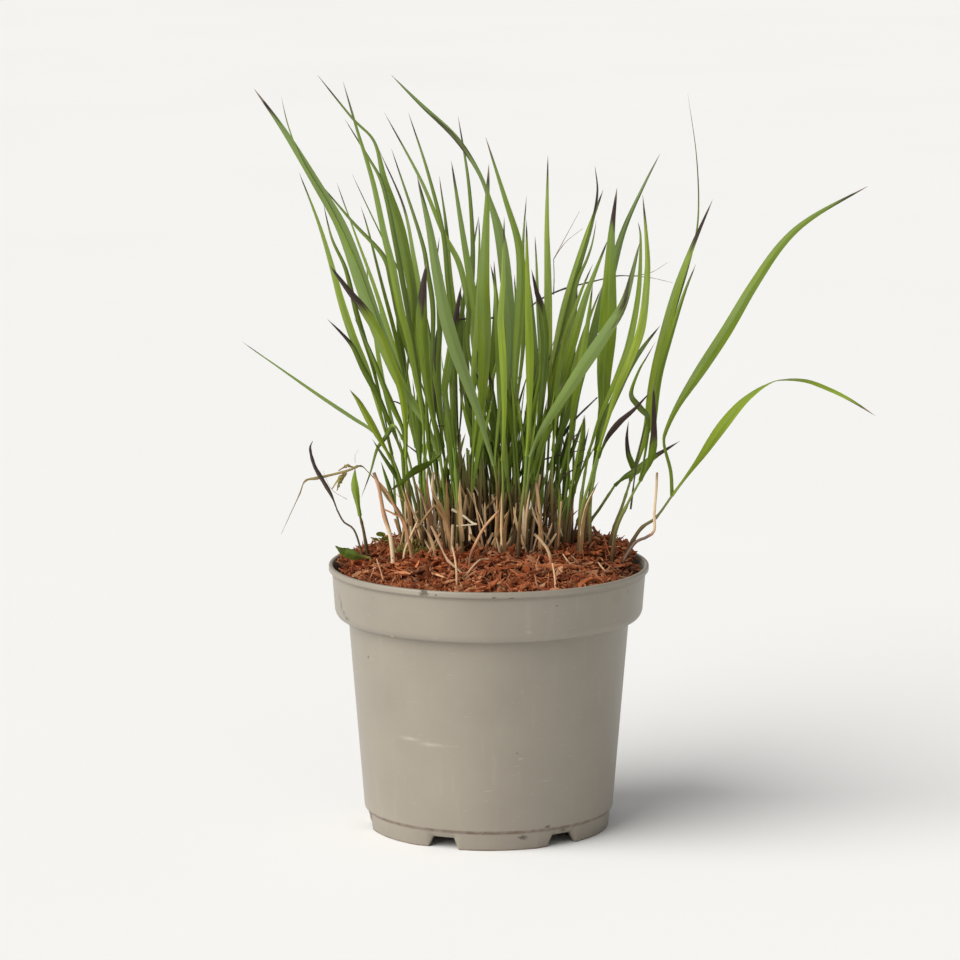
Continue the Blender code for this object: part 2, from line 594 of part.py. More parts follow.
def directions(path):
    """Unit tangents of a path, and unit vectors across it that lie square to the line of sight."""
    along = np.gradient(path, axis=0)
    along /= np.linalg.norm(along, axis=1, keepdims=True)
    sight = path - EYE
    across = np.cross(along, sight)
    across /= np.linalg.norm(across, axis=1, keepdims=True)
    return along, across


def stem_path(foot, foot_r, depth, seen):
    """The stem's line from its foot, clear of the compost; its depth runs evenly to that of its top."""
    start = np.array((*foot, COMPOST_TOP + GAP))
    shares = np.arange(1, len(seen) + 1) / len(seen)
    rest = [behind(x, z, foot[1] + (depth - foot[1]) * s) for (x, z), s in zip(seen, shares)]
    rise = rest[0] - start
    start[2] += foot_r * math.hypot(rise[0], rise[1]) / np.linalg.norm(rise)
    return np.vstack((start, rest))


def tube(path, radii, sides=STEM_SIDES):
    """A closed tube along a path, with a radius at each point."""
    along, across = directions(path)
    upright = np.cross(across, along)
    turns = np.arange(sides) * 2 * math.pi / sides
    points = []
    for centre, r, a, b in zip(path, radii, across, upright):
        points += [centre + r * (a * math.cos(t) + b * math.sin(t)) for t in turns]
    faces = []
    for k in range(len(path) - 1):
        low, high = k * sides, (k + 1) * sides
        for i in range(sides):
            j = (i + 1) % sides
            faces.append((low + i, low + j, high + j, high + i))
    faces.append(tuple(range(sides)))
    faces.append(tuple(range(len(points) - sides, len(points))))
    return points, faces


def blade_width(share, neck, widest):
    """Share of the full width along a blade: a narrow base, a long swell and a drawn-out point."""
    rise = np.clip((share - neck) / (widest - neck), 0, 1)
    fall = np.clip((1 - share) / (1 - widest), 0, 1)
    swell = np.sin(rise * math.pi / 2) ** BLADE_SWELL
    return (BLADE_BASE + (1 - BLADE_BASE) * swell) * fall ** BLADE_TAPER


def blade(start, start_depth, width, swell, rolls, tip_depth, seen, spare=0.0):
    """A keeled blade from the stem through the seen places: two edges and a keel meet at the point."""
    flat = smooth_path([(*start, 1)] + [(*place, 1)[:3] for place in seen])
    steps = len(flat) - 1
    share = np.linspace(0, 1, steps + 1)
    depth = start_depth + (tip_depth - start_depth) * share ** 1.3
    path = np.array([behind(x, z, d) for (x, z, _), d in zip(flat, depth)])
    along, across = directions(path)
    facing = np.cross(across, along)
    turn = np.radians(rolls[0] + (rolls[1] - rolls[0]) * share)[:, None]
    side = across * np.cos(turn) + facing * np.sin(turn)
    back = facing * np.cos(turn) - across * np.sin(turn)
    half = (width * blade_width(share, *swell) * flat[:, 2] / 2 + spare)[:, None]
    keel = np.maximum(KEEL * 2 * half, KEEL_LEAST) + spare
    rings = np.stack((path - side * half, path + side * half, path - back * keel), axis=1)[:-1]
    points = rings.reshape(-1, 3).tolist() + [path[-1].tolist()]
    faces = [(0, 1, 2)]
    for k in range(steps - 1):
        for i in range(3):
            j = (i + 1) % 3
            faces.append((3 * k + i, 3 * k + j, 3 * k + 3 + j))
            faces.append((3 * k + i, 3 * k + 3 + j, 3 * k + 3 + i))
    last = 3 * (steps - 1)
    faces += [(last + i, last + (i + 1) % 3, len(points) - 1) for i in range(3)]
    return points, faces


def clear_of(shape, grown):
    tree = BVHTree.FromPolygons([Vector(p) for p in shape[0]], shape[1])
    return not any(tree.overlap(other) for other in grown)


def give_way(make, depth, grown):
    """The nearest depth to the wanted one at which a shape clears what already grows there."""
    for k in range(SIDESTEPS):
        for turn in (1, -1):
            tried = depth + turn * k * SIDESTEP
            if abs(tried) <= REACH and clear_of(make(tried, BREATHING), grown):
                return tried
    return depth


def seen_from_front(point):
    """Where a point is seen on the upright plane through the pot's axis."""
    on_plane = EYE + (point - EYE) * (-EYE[1] / (point[1] - EYE[1]))
    return on_plane[0], on_plane[2]


def grow(name, foot, depth, seen, blades, grown, foot_r=STEM_FOOT_R, top_r=STEM_TOP_R):
    """One stem with its blades, clear of the others in depth, and the sleeve that its foot needs."""
    radii = np.linspace(foot_r, top_r, len(seen) + 1)
    depth = give_way(lambda d, spare: tube(stem_path(foot, foot_r, d, seen), radii + spare), depth, grown)
    path = stem_path(foot, foot_r, depth, seen)
    shapes = [tube(path, radii)]
    top = path[-1] + (path[-2] - path[-1]) / np.linalg.norm(path[-2] - path[-1])
    for width, swell, rolls, tip_depth, places in blades:
        def make(tip, spare):
            return blade(seen_from_front(top), top[1], width, swell, rolls, tip, places, spare)
        tip_depth = give_way(make, tip_depth, grown)
        shapes.append(make(tip_depth, 0))
    grown += [BVHTree.FromPolygons([Vector(p) for p in points], faces) for points, faces in shapes]
    parts = [solid(name, *shape) for shape in shapes]
    combine(parts[0], parts[1:], "UNION")
    rise = path[1] - path[0]
    sleeve_r = (foot_r + GAP) * math.sqrt(2)
    sleeve = tube(np.array((path[0] - rise * 0.2, path[1])), (sleeve_r, sleeve_r), 4)
    return parts[0], solid("sleeve", *sleeve)


for old in list(bpy.data.objects):
    bpy.data.objects.remove(old)

pot = solid("pot", *lathe(pot_profile(), POT_SIDES))
combine(pot, pot_cutters(), "DIFFERENCE")
finish(pot, TAUPE, 0.45, 35)

compost = solid("compost", *lathe(compost_profile(), COMPOST_SIDES))
finish(compost, SOIL, 0.95, 35)

grown = []
sleeves = []
for name, foot, depth, seen, blades in SHOOTS:
    shoot, sleeve = grow(name, foot, depth, seen, blades, grown)
    finish(shoot, GREEN, 0.45)
    sleeves.append(sleeve)
for name, foot, depth, seen, foot_r in STRAWS:
    straw, sleeve = grow(name, foot, depth, seen, (), grown, foot_r, foot_r * 0.75)
    finish(straw, STRAW, 0.6)
    sleeves.append(sleeve)
for name, foot, depth, seen, blades in DEAD_LEAVES:
    leaf, sleeve = grow(name, foot, depth, seen, blades, grown, 1.0, 0.8)
    finish(leaf, DRY, 0.7)
    sleeves.append(sleeve)
weed, sleeve = grow(*WEED, grown, 0.9, 0.8)
finish(weed, GREEN, 0.5)
sleeves.append(sleeve)

mulch = solid("bark_mulch", *mulch_points())
combine(mulch, sleeves, "DIFFERENCE")
finish(mulch, BARK, 0.9)
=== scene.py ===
"""Looks for a potted clump of ornamental grass, put together in the order that the real one is.

Lengths in the tables are millimetres from the middle of the pot's base, with +Z up and the photographed
side at -Y. A seen place is its x and z where the photograph shows it, on the upright plane through the pot.
"""

import math

import bmesh
import bpy
import numpy as np
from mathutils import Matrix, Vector


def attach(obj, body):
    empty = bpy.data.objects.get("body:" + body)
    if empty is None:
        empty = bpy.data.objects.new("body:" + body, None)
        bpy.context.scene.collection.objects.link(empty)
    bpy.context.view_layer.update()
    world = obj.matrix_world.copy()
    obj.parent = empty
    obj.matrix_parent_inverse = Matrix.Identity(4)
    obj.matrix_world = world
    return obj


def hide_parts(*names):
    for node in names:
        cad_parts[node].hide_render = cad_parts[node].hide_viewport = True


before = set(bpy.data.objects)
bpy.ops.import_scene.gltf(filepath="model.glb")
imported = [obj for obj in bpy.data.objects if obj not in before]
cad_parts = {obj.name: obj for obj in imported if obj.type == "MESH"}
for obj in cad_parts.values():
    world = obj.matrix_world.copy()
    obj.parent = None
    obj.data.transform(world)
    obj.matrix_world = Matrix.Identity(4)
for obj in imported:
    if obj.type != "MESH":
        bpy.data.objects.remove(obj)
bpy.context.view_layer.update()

# The pot is one thin-walled moulding in satin taupe plastic: a taper with a deep collar, a rolled lip and a
# foot ring with six notches. It is turned from one outline, and the ring's lower edge rises at each notch.
MM = 0.001
POT_AXIS = np.array((-39.0, 0.0, 0.0))
POT_OUTLINE = (  # radius, height and rounding of each corner: the underside, up the outside, down the inside
    (2, 7, 0), (67.4, 7, 0.3), (69.2, 0, 0.4), (71.5, 0, 0.5), (72.8, 10.4, 0.3), (74.1, 11.8, 0.5),
    (83.3, 126, 0.8), (89.1, 126.7, 2), (91.2, 130, 1.8), (93, 153.4, 0.5), (94.9, 154.5, 0.6),
    (94.9, 157.9, 1.2), (92.6, 157.9, 0.8), (91.6, 152.7, 1.5), (89.8, 130.2, 1.5), (84.9, 128.4, 1.5),
    (81.9, 125.4, 1), (72.8, 13.5, 1.5), (70.8, 8.8, 1), (2, 8.8, 0),
)
POT_SIDES = 300
POT_CREASE = 32
NOTCH_TURNS = np.radians(-112.5 + 60 * np.arange(6))
NOTCH_TOP, NOTCH_FOOT, NOTCH_BEND = 6.9, 10.25, 17.3
NOTCH_RISE = 6.8
FLOOR_UNDERSIDE = 7.0
FOOT_R = 71.5
RING_INSIDE_R = 67.0
BEND_IN = 1.6
DRAIN_PLACE_R = 52.0
DRAIN_R = 4.0
STAIN = (-74.5, -53.7, 138.3)


def rounded(outline, steps=6):
    """The outline with each corner cut back on both sides and bridged by a quadratic curve."""
    corners, share = np.array(outline, float)[:, :2], np.linspace(0, 1, steps)[:, None]
    places = [corners[:1]]
    for before, corner, after, (_, _, rounding) in zip(corners, corners[1:], corners[2:], outline[1:]):
        start, end = (corner + (beyond - corner) / np.linalg.norm(beyond - corner) * rounding
                      for beyond in (before, after))
        places.append((1 - share) ** 2 * start + 2 * share * (1 - share) * corner + share ** 2 * end)
    return np.vstack((*places, corners[-1:]))


def from_notch(angles):
    """Distance round the foot from the middle of the nearest notch to each angle."""
    off = (angles[:, None] - NOTCH_TURNS + np.pi) % (2 * np.pi) - np.pi
    return off[np.arange(len(angles)), np.abs(off).argmin(axis=1)] * FOOT_R


def beside(*columns):
    """Columns of numbers repeated to one shape and set side by side."""
    return np.stack(np.broadcast_arrays(*columns), axis=-1)


def turned(outline, angles):
    """Rings of a form turned about the pot's axis: one ring for each (radius, height) of the outline."""
    radius, height = outline[:, :1], outline[:, 1:]
    return beside(radius * np.cos(angles), radius * np.sin(angles), height)


def ring_faces(count, rings, around):
    """Quads and end faces of `count` closed tubes: a quad joins two neighbours to the same two a ring on."""
    ring, spoke = np.meshgrid(np.arange(rings - 1), np.arange(around), indexing="ij")
    beyond = (spoke + 1) % around
    low, high = ring * around, (ring + 1) * around
    quads = beside(low + spoke, low + beyond, high + beyond, high + spoke).reshape(-1, 4)
    ends = np.stack((np.arange(around), (rings - 1) * around + np.arange(around)))
    starts = (np.arange(count) * rings * around)[:, None, None]
    return (starts + quads).reshape(-1, 4), (starts + ends).reshape(-1, around)


def make(name, batches, materials, crease=40):
    """An object of closed tubes. A batch is points[tube, ring, spoke, axis], look, fibre and material."""
    points, faces, looks, fibres, kinds = [], [], [], [], []
    first = 0
    for places, look, fibre, kind in batches:
        count, rings, around = places.shape[:3]
        points.append((places.reshape(-1, 3) + POT_AXIS) * MM)
        looks.append(np.broadcast_to(look, (count, rings, around, 4)).ravel())
        fibres.append(np.broadcast_to(fibre, (count, rings, around, 3)).ravel())
        for new in ring_faces(count, rings, around):
            faces += (new + first).tolist()
            kinds += [kind] * len(new)
        first += count * rings * around
    mesh = bpy.data.meshes.new(name)
    mesh.from_pydata(np.concatenate(points), [], faces)
    mesh.attributes.new("look", "FLOAT_COLOR", "POINT").data.foreach_set("color", np.concatenate(looks))
    mesh.attributes.new("fibre", "FLOAT_VECTOR", "POINT").data.foreach_set("vector", np.concatenate(fibres))
    for material in materials:
        mesh.materials.append(material)
    mesh.polygons.foreach_set("material_index", kinds)
    bm = bmesh.new()
    bm.from_mesh(mesh)
    bmesh.ops.recalc_face_normals(bm, faces=bm.faces)
    bm.to_mesh(mesh)
    bm.free()
    mesh.shade_smooth()
    mesh.set_sharp_from_angle(angle=math.radians(crease))
    made = bpy.data.objects.new(name, mesh)
    bpy.context.scene.collection.objects.link(made)
    return made


def cut(body, tool):
    """Takes the tool's volume out of the body, and removes the tool."""
    step = body.modifiers.new("cut", "BOOLEAN")
    step.operation = "DIFFERENCE"
    step.solver = "EXACT"
    step.object = tool
    bpy.context.view_layer.update()
    body.data = bpy.data.meshes.new_from_object(body.evaluated_get(bpy.context.evaluated_depsgraph_get()))
    body.modifiers.clear()
    bpy.data.objects.remove(tool)


def colour(red, green, blue):
    """A colour given as 0 to 255 on screen, in the linear values that a shader takes."""
    screen = np.array((red, green, blue)) / 255
    linear = np.where(screen <= 0.04045, screen / 12.92, ((screen + 0.055) / 1.055) ** 2.4)
    return (*linear, 1)


def fill(tree, node, inputs):
    """Sets a node's inputs to values, or joins them to other nodes' outputs."""
    for key, value in dict(inputs).items():
        if isinstance(value, bpy.types.NodeSocket):
            tree.links.new(value, node.inputs[key])
        else:
            node.inputs[key].default_value = value
    return node


def add(tree, kind, inputs, **settings):
    """A new shader node with its settings and inputs."""
    node = tree.nodes.new("ShaderNode" + kind)
    for key, value in settings.items():
        setattr(node, key, value)
    return fill(tree, node, inputs)


class Finish:
    """A new material, with short names for the nodes that work out its look. A value is a number or a node's
    output, and a tint is red, green and blue from 0 to 255 on screen."""

    def __init__(self, name):
        self.material = bpy.data.materials.new(name)
        self.material.use_nodes = True
        self.tree = self.material.node_tree
        self.where = self.add("TexCoord", {}).outputs["Object"]

    def add(self, kind, inputs, **settings):
        """A new node in the material."""
        return add(self.tree, kind, inputs, **settings)

    def math(self, how, *values):
        """The values put together by one step of arithmetic."""
        return self.add("Math", enumerate(values), operation=how).outputs[0]

    def times(self, value, share):
        """The value times a share."""
        return self.math("MULTIPLY", value, share)

    def plus(self, value, more, amount):
        """The value with an amount of another added."""
        return self.math("MULTIPLY_ADD", more, amount, value)

    def swayed(self, value, by, amount):
        """The value with an amount of another's distance from a half added."""
        return self.plus(value, self.math("SUBTRACT", by, 0.5), amount)

    def axis(self, vector, number):
        """One of a vector's three numbers."""
        return self.add("SeparateXYZ", {0: vector}).outputs[number]

    def noise(self, scale, detail=3.0, roughness=0.55, at=None):
        """Cloudy noise, 0 to 1, on the object's own coordinates or on the given ones."""
        return self.add("TexNoise", {"Vector": self.where if at is None else at, "Scale": scale,
                                     "Detail": detail, "Roughness": roughness}).outputs[0]

    def band(self, value, start, end, low=0.0, high=1.0):
        """A smooth climb from low to high as the value goes from start to end."""
        return self.add("MapRange", enumerate((value, start, end, low, high)),
                        interpolation_type="SMOOTHSTEP").outputs[0]

    def between(self, value, start, whole, fading, end):
        """1 where the value lies from whole to fading, down to 0 at start and at end."""
        return self.times(self.band(value, start, whole), self.band(value, end, fading))

    def ramp(self, value, *stops):
        """A run of colours: each stop is its place in the run, then its red, green and blue."""
        node = self.add("ValToRGB", {0: value})
        spare = node.color_ramp.elements
        while len(spare) < len(stops):
            spare.new(0.5)
        for element, (place, *tint) in zip(spare, stops):
            element.position = place
            element.color = colour(*tint)
        return node.outputs[0]

    def coated(self, tone, *coats):
        """The tone under its coats, laid over it in turn. A coat is a tint and the share by which it covers,
        and it may end with a factor on that share."""
        for tint, share, *most in coats:
            share = self.times(share, *most) if most else share
            tone = self.add("Mix", {0: share, 6: tone, 7: colour(*tint)}, data_type="RGBA").outputs[2]
        return tone

    def marks(self, *rows):
        """Ragged patches, the strongest at each point. A row is a place and a size in the pot's millimetres,
        how ragged it is, and how far in it is whole: |point - place| / size with noise, through a band."""
        patches = []
        for place, size, ragged, edge in rows:
            spot = (np.array(place) + POT_AXIS) * MM
            off = self.add("VectorMath", {0: self.where, 1: spot}, operation="SUBTRACT").outputs[0]
            scaled = self.add("VectorMath", {0: off, 1: np.array(size) * MM}, operation="DIVIDE").outputs[0]
            away = self.add("VectorMath", {0: scaled}, operation="LENGTH").outputs["Value"]
            torn = self.plus(away, self.noise(900.0), ragged)
            patches.append(self.band(torn, 1 + ragged / 2, edge + ragged / 2))
        strongest = patches[0]
        for patch in patches[1:]:
            strongest = self.math("MAXIMUM", strongest, patch)
        return strongest

    def done(self, tone, rough, bumps, others=()):
        """The material, its shader's inputs joined, with a bump for each (height, strength, distance)."""
        inputs = {"Base Color": tone, "Roughness": rough, **dict(others)}
        for bump in bumps:
            below = {"Normal": inputs["Normal"]} if "Normal" in inputs else {}
            bump = dict(zip(("Height", "Strength", "Distance"), bump))
            inputs["Normal"] = self.add("Bump", bump | below).outputs[0]
        fill(self.tree, self.tree.nodes["Principled BSDF"], inputs)
        return self.material


def pot_finish():
    """Satin taupe plastic: faint clouding and grain, soil and painted shade in the grooves under the collar
    and the lip, and the scuffs of a used pot.
    """
    skin = Finish("pot_plastic")
    height = skin.axis(skin.where, 2)
    clouds, grain = skin.noise(22.0), skin.noise(1500.0, 2.0)
    drawn_up = skin.add("Mapping", {0: skin.where, "Scale": (1, 1, 0.12)}).outputs[0]
    film = skin.band(skin.noise(160.0, 4.0, at=drawn_up), 0.55, 0.8, 0, 0.16)
    # Painted shade: dark bands in the groove under the collar and under the rolled lip, laid on with the
    # soil; the same coat also darkens the pot toward its base.
    collar_groove_shade = skin.between(height, 0.1252, 0.126, 0.1268, 0.1284)
    under_lip_shade = skin.between(height, 0.1516, 0.153, 0.1545, 0.1556)
    low = skin.times(skin.band(height, 0.013, 0.0), 0.5)
    soil_and_shade_bands = skin.math("ADD", low, skin.math("ADD", collar_groove_shade, under_lip_shade))
    soil = skin.times(soil_and_shade_bands, skin.plus(0.16, skin.band(skin.noise(420.0, 5.0, 0.7), 0.6, 0.76), 0.5))
    step = skin.between(height, 0.0096, 0.0106, 0.0119, 0.0128)
    seam = skin.math("MAXIMUM", step, skin.band(height, 0.0013, 0.0004))
    patchy = skin.band(skin.noise(160.0, 4.0, 0.6), 0.35, 0.65, 0.25, 0.75)
    smear = skin.marks(((-46, -62, 65.3), (9, 16, 1.8), 0.8, -0.4),
                       ((-33, -70, 63.4), (12, 12, 2.0), 1.0, -0.6))
    blot, hole = ((STAIN, (3.6, 5.2, 4.1), 0.5, 0.2), (STAIN, (2.5, 3.6, 2.9), 0.4, 1.4))
    ring = skin.times(skin.marks(blot), skin.marks(hole))
    rub = skin.marks(
        ((-86.8, -31, 138), (1.3, 5, 5), 0.9, 0), ((-85.2, -34, 134), (1.8, 5, 3), 1.0, 0),
        ((-83.4, -37.5, 131.6), (3.2, 6, 2), 1.0, 0), ((-88, -29, 142), (0.9, 3, 4), 1.0, 0),
    )
    dirt = skin.marks(
        ((-37.4, -87.2, 156.4), (3.2, 4, 2), 1.8, 0.5), ((-30.5, -89.9, 155.8), (1.2, 2, 0.6), 0.8, 0.3),
        ((2.8, -94.8, 155), (1.6, 2, 0.7), 1.2, 0.3), ((13, -93.8, 154.6), (2.2, 2, 0.6), 1.2, 0.3),
        ((-67.2, -64.4, 149), (0.35, 1, 1.1), 0.3, 0.3), ((-70.7, -41.5, 109.4), (0.5, 1.5, 1.3), 0.5, 0.3),
        ((39.1, -84.4, 148.2), (1.1, 1.5, 0.4), 0.6, 0.3), ((81.2, -45.5, 148.9), (0.4, 1.4, 2.2), 0.5, 0.3),
        ((16.3, -75.5, 59.5), (0.7, 2, 0.7), 0.3, 0.3), ((34.2, -65.4, 13.2), (2.4, 3, 1.2), 1.6, 0.3),
        ((20, -69.7, 7.6), (4, 4, 1.6), 2.2, 0.3), ((-70, -19, 8.6), (1.6, 6, 3.6), 1.8, 0.3),
        ((44, -58, 9), (3, 4, 1.4), 2.0, 0.3),
    )
    nick = skin.marks(((-56.2, -69.3, 127.2), (0.9, 1.6, 0.8), 0.3, 0.5))
    algae = skin.marks(((74, -55, 148), (7, 9, 7), 1.5, 0.1))
    aslant = skin.add("Mapping", {0: skin.where, "Rotation": (0.3, 0.7, 0.4), "Scale": (9, 1.2, 60)})
    scratches = skin.band(skin.noise(14.0, 2.0, at=aslant.outputs[0]), 0.7, 0.74)
    # the soil coat also holds the painted shade under the collar and under the lip
    tone = skin.coated(
        skin.ramp(clouds, (0.3, 143, 135, 122), (0.7, 151, 143, 129)),
        ((120, 110, 96), grain, 0.12), ((178, 170, 156), film), ((78, 62, 46), soil),
        ((96, 70, 52), seam, patchy), ((206, 200, 188), smear, 0.45), ((122, 98, 80), ring, 0.5),
        ((92, 92, 80), rub, 0.75), ((66, 54, 42), dirt, 0.7), ((222, 216, 204), nick, 0.8),
        ((112, 122, 84), algae, 0.16), ((205, 197, 182), scratches, 0.18),
    )
    dull = skin.math("ADD", skin.plus(0.36, clouds, 0.12), skin.times(skin.math("MAXIMUM", dirt, soil), 0.4))
    return skin.done(tone, dull, [(grain, 0.12, 0.0002), (dirt, 0.5, 0.0004)])


notch_corners = np.array((-NOTCH_BEND, -NOTCH_FOOT, -NOTCH_TOP, NOTCH_TOP, NOTCH_FOOT)) / FOOT_R
pot_angles = np.unique(np.concatenate((
    np.linspace(0, 2 * np.pi, POT_SIDES, endpoint=False),
    ((NOTCH_TURNS[:, None] + notch_corners) % (2 * np.pi)).ravel(),
)))
pot_rings = turned(rounded(POT_OUTLINE), pot_angles)
out_from_axis = np.linalg.norm(pot_rings[..., :2], axis=-1)
in_foot = (pot_rings[..., 2] < FLOOR_UNDERSIDE - 0.01) & (out_from_axis > RING_INSIDE_R)
away = from_notch(pot_angles)
edge_rise = np.clip((NOTCH_FOOT - np.abs(away)) / (NOTCH_FOOT - NOTCH_TOP), 0, 1) * NOTCH_RISE
lifted = edge_rise + pot_rings[..., 2] * (1 - edge_rise / FLOOR_UNDERSIDE)
bend = np.interp(away, (-NOTCH_BEND, -NOTCH_FOOT, NOTCH_TOP, NOTCH_FOOT), (0, 1, 1, 0))
pot_rings[..., :2] *= np.where(in_foot, 1 - bend * BEND_IN / FOOT_R, 1)[..., None]
pot_rings[..., 2] = np.where(in_foot, lifted, pot_rings[..., 2])
pot = make("nursery_pot", [(pot_rings[None], 0, 0, 0)], [pot_finish()], POT_CREASE)
drain_turns = (NOTCH_TURNS + np.pi / 6)[:, None, None]
round_drain = np.linspace(0, 2 * np.pi, 24, endpoint=False)
drain_rods = beside(DRAIN_PLACE_R * np.cos(drain_turns) + DRAIN_R * np.cos(round_drain),
                    DRAIN_PLACE_R * np.sin(drain_turns) + DRAIN_R * np.sin(round_drain),
                    np.array((5, 11))[:, None])
cut(pot, make("drain_rods", [(drain_rods, 0, 0, 0)], []))
pot.data.set_sharp_from_angle(angle=math.radians(POT_CREASE))
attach(pot, "root")
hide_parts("pot")

# Damp compost fills the pot to just under the mulch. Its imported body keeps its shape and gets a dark,
# crumbly finish, and loose crumbs lie on it along the rim, where the mulch stops short of the wall.
CRUMBS = 900
COMPOST_LEVEL = 150.0


def soil_finish():
    """Dark crumbs: near-black to brown, with a few pale fibres, matt and rough."""
    skin = Finish("damp_compost")
    lumps = skin.noise(350.0, 5.0, 0.7)
    tone = skin.coated(
        skin.ramp(lumps, (0.3, 22, 16, 12), (0.55, 48, 35, 26), (0.75, 88, 66, 48)),
        ((150, 120, 88), skin.band(skin.noise(1400.0, 2.0), 0.68, 0.74), 0.5),
    )
    return skin.done(tone, skin.plus(0.78, lumps, 0.2), [(lumps, 0.8, 0.0012)])


def turning(angles, first, second):
    """A matrix for each angle that turns the first axis toward the second."""
    matrices = np.tile(np.eye(3), (len(angles), 1, 1))
    matrices[:, first, first] = matrices[:, second, second] = np.cos(angles)
    matrices[:, second, first] = np.sin(angles)
    matrices[:, first, second] = -np.sin(angles)
    return matrices


def tumbled(local, yaw, pitch, roll, middles):
    """Each form turned by its own roll, pitch and yaw, and set down at its own middle."""
    turns = turning(yaw, 0, 1) @ turning(pitch, 2, 0) @ turning(roll, 1, 2)
    return np.einsum("nij,nrsj->nrsi", turns, local) + middles[:, None, None]


def splinters(draw, length, width, depth, rings=6, around=6):
    """Slivers along X, one for each length: flattened rings, tapered, bent and roughened at random."""
    count = len(length)
    length, width, depth = (np.reshape(size, (-1, 1, 1)) for size in (length, width, depth))
    share = np.linspace(-1, 1, rings)[:, None]
    turn = np.arange(around) * 2 * np.pi / around + np.pi / around
    across, up = (np.sign(side) * np.abs(side) ** 0.7 for side in (np.cos(turn), np.sin(turn)))
    taper = 1 - draw.uniform(0.25, 0.8, (count, 1, 1)) * np.abs(share) ** draw.uniform(1.5, 4, (count, 1, 1))
    rough = 1 + draw.uniform(-0.22, 0.22, (count, rings, around))
    x = share * length / 2 + draw.uniform(-0.05, 0.05, (count, rings, around)) * length
    bow = draw.normal(0, 0.05, (2, count, 1, 1)) * length * share ** 2
    y = across * width / 2 * taper * rough + bow[0]
    return beside(x, y, up * depth / 2 * (0.4 + 0.6 * taper) * rough + bow[1])


soil = soil_finish()
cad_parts["compost"].material_slots[0].material = soil
draw = np.random.default_rng(31)
size = draw.uniform(1.0, 3.0, CRUMBS)
turn, out = draw.uniform(0, 2 * np.pi, CRUMBS), draw.uniform(79, 89.5, CRUMBS)
lift = size * 0.3 + draw.uniform(0, 1.6, CRUMBS)
crumbs = splinters(draw, size, size * 0.8, size * 0.7, 4, 5)
crumbs = tumbled(crumbs, *draw.uniform(-3, 3, (CRUMBS, 3)).T,
                 beside(out * np.cos(turn), out * np.sin(turn), COMPOST_LEVEL + lift))
crumb_piece = make("compost_crumbs", [(crumbs, 0, 0, 0)], [soil], 60)
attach(crumb_piece, "root")

# Bark mulch: shredded red-brown softwood bark, two layers of chips and fine shreds over a bed of dust. The
# chips lie flat or lean on each other, mostly 5 to 15 mm long, the upper ones brighter than those beneath,
# which are painted darker as shade, as are the dust bed and the chips in the hollow by the right wall.
CHIPS = 1500
FINES = 2600
MULCH_R = 87.0
MULCH_LEVEL = 157.0
MULCH_RISE = 0.045
HOLLOW = (92, -16, -11, 24)
MOUNDS = ((8, 18, 7.5, 62), (74, 32, 5.5, 27), HOLLOW)  # middle, height, spread: the clump's foot, by the rim
BED_RINGS = (1, 8, 16, 24, 32, 40, 48, 56, 64, 72, 79, 85, 87, 87, 1)
BED_DROP = 3.0
LEAST_MULCH = 2.6
INSIDE_WALL = 91.0


def mulch_height(x, y):
    """Top of the mulch: higher at the back, mounded in places, with lumps of a chip's size, and nowhere
    lower than a thin cover over the compost."""
    mounds = sum(height * np.exp(-((x - middle_x) ** 2 + (y - middle_y) ** 2) / spread ** 2)
                 for middle_x, middle_y, height, spread in MOUNDS)
    lumps = 1.1 * np.sin(0.31 * x + 1.3) * np.cos(0.27 * y) + 0.9 * np.sin(0.43 * y - 0.22 * x)
    return np.maximum(MULCH_LEVEL + MULCH_RISE * y + mounds + lumps, COMPOST_LEVEL + LEAST_MULCH)


def fibre_group():
    """Streaks that run along a fibre: noise on the fibre coordinates, drawn out along their second axis."""
    group = bpy.data.node_groups.new("fibre_streaks", "ShaderNodeTree")
    for name, way, kind in (("Fibre", "INPUT", "Vector"), ("Across", "INPUT", "Float"),
                            ("Along", "INPUT", "Float"), ("Streak", "OUTPUT", "Float")):
        group.interface.new_socket(name, in_out=way, socket_type="NodeSocket" + kind)
    given, result = group.nodes.new("NodeGroupInput").outputs, group.nodes.new("NodeGroupOutput").inputs
    scale = add(group, "CombineXYZ", {0: given[1], 1: given[2], 2: 7.3}).outputs[0]
    drawn = add(group, "VectorMath", {0: given[0], 1: scale}, operation="MULTIPLY").outputs[0]
    noise = add(group, "TexNoise", {"Vector": drawn, "Scale": 1.0, "Detail": 3.0, "Roughness": 0.6})
    group.links.new(noise.outputs[0], result[0])
    return group


FIBRES = fibre_group()


def fibre_streaks(skin, across, along):
    """The fibre streaks of a piece, from its own fibre attribute."""
    fibre = skin.add("Attribute", {}, attribute_name="fibre").outputs["Vector"]
    return skin.add("Group", {"Fibre": fibre, "Across": across, "Along": along}, node_tree=FIBRES).outputs[0]


def looks_of(skin):
    """The four shares that a piece's look attribute holds at each point."""
    look = skin.add("Attribute", {}, attribute_name="look")
    parts = skin.add("SeparateColor", {0: look.outputs["Color"]})
    return (*parts.outputs[:3], look.outputs["Alpha"])


def bark_finish():
    """Split bark: look gives each chip's tone, paleness and painted shade; dark streaks run along its grain.
    """
    skin = Finish("shredded_bark")
    share, pale, shade, ends = looks_of(skin)
    streak, fine = fibre_streaks(skin, 2.2, 0.35), fibre_streaks(skin, 6.0, 0.8)
    tone = skin.coated(
        skin.ramp(skin.swayed(share, streak, 0.55), (0.0, 62, 22, 6), (0.28, 110, 46, 18),
                  (0.52, 146, 68, 31), (0.76, 182, 101, 58), (1.0, 218, 152, 106)),
        ((226, 186, 142), pale, 0.6), ((68, 26, 12), skin.band(fine, 0.42, 0.3, 0, 0.55)),
        ((46, 17, 6), shade), ((214, 140, 90), ends, 0.25),
    )
    return skin.done(tone, skin.plus(0.62, streak, 0.25), [(fine, 0.7, 0.0004)], {"Specular IOR Level": 0.25})


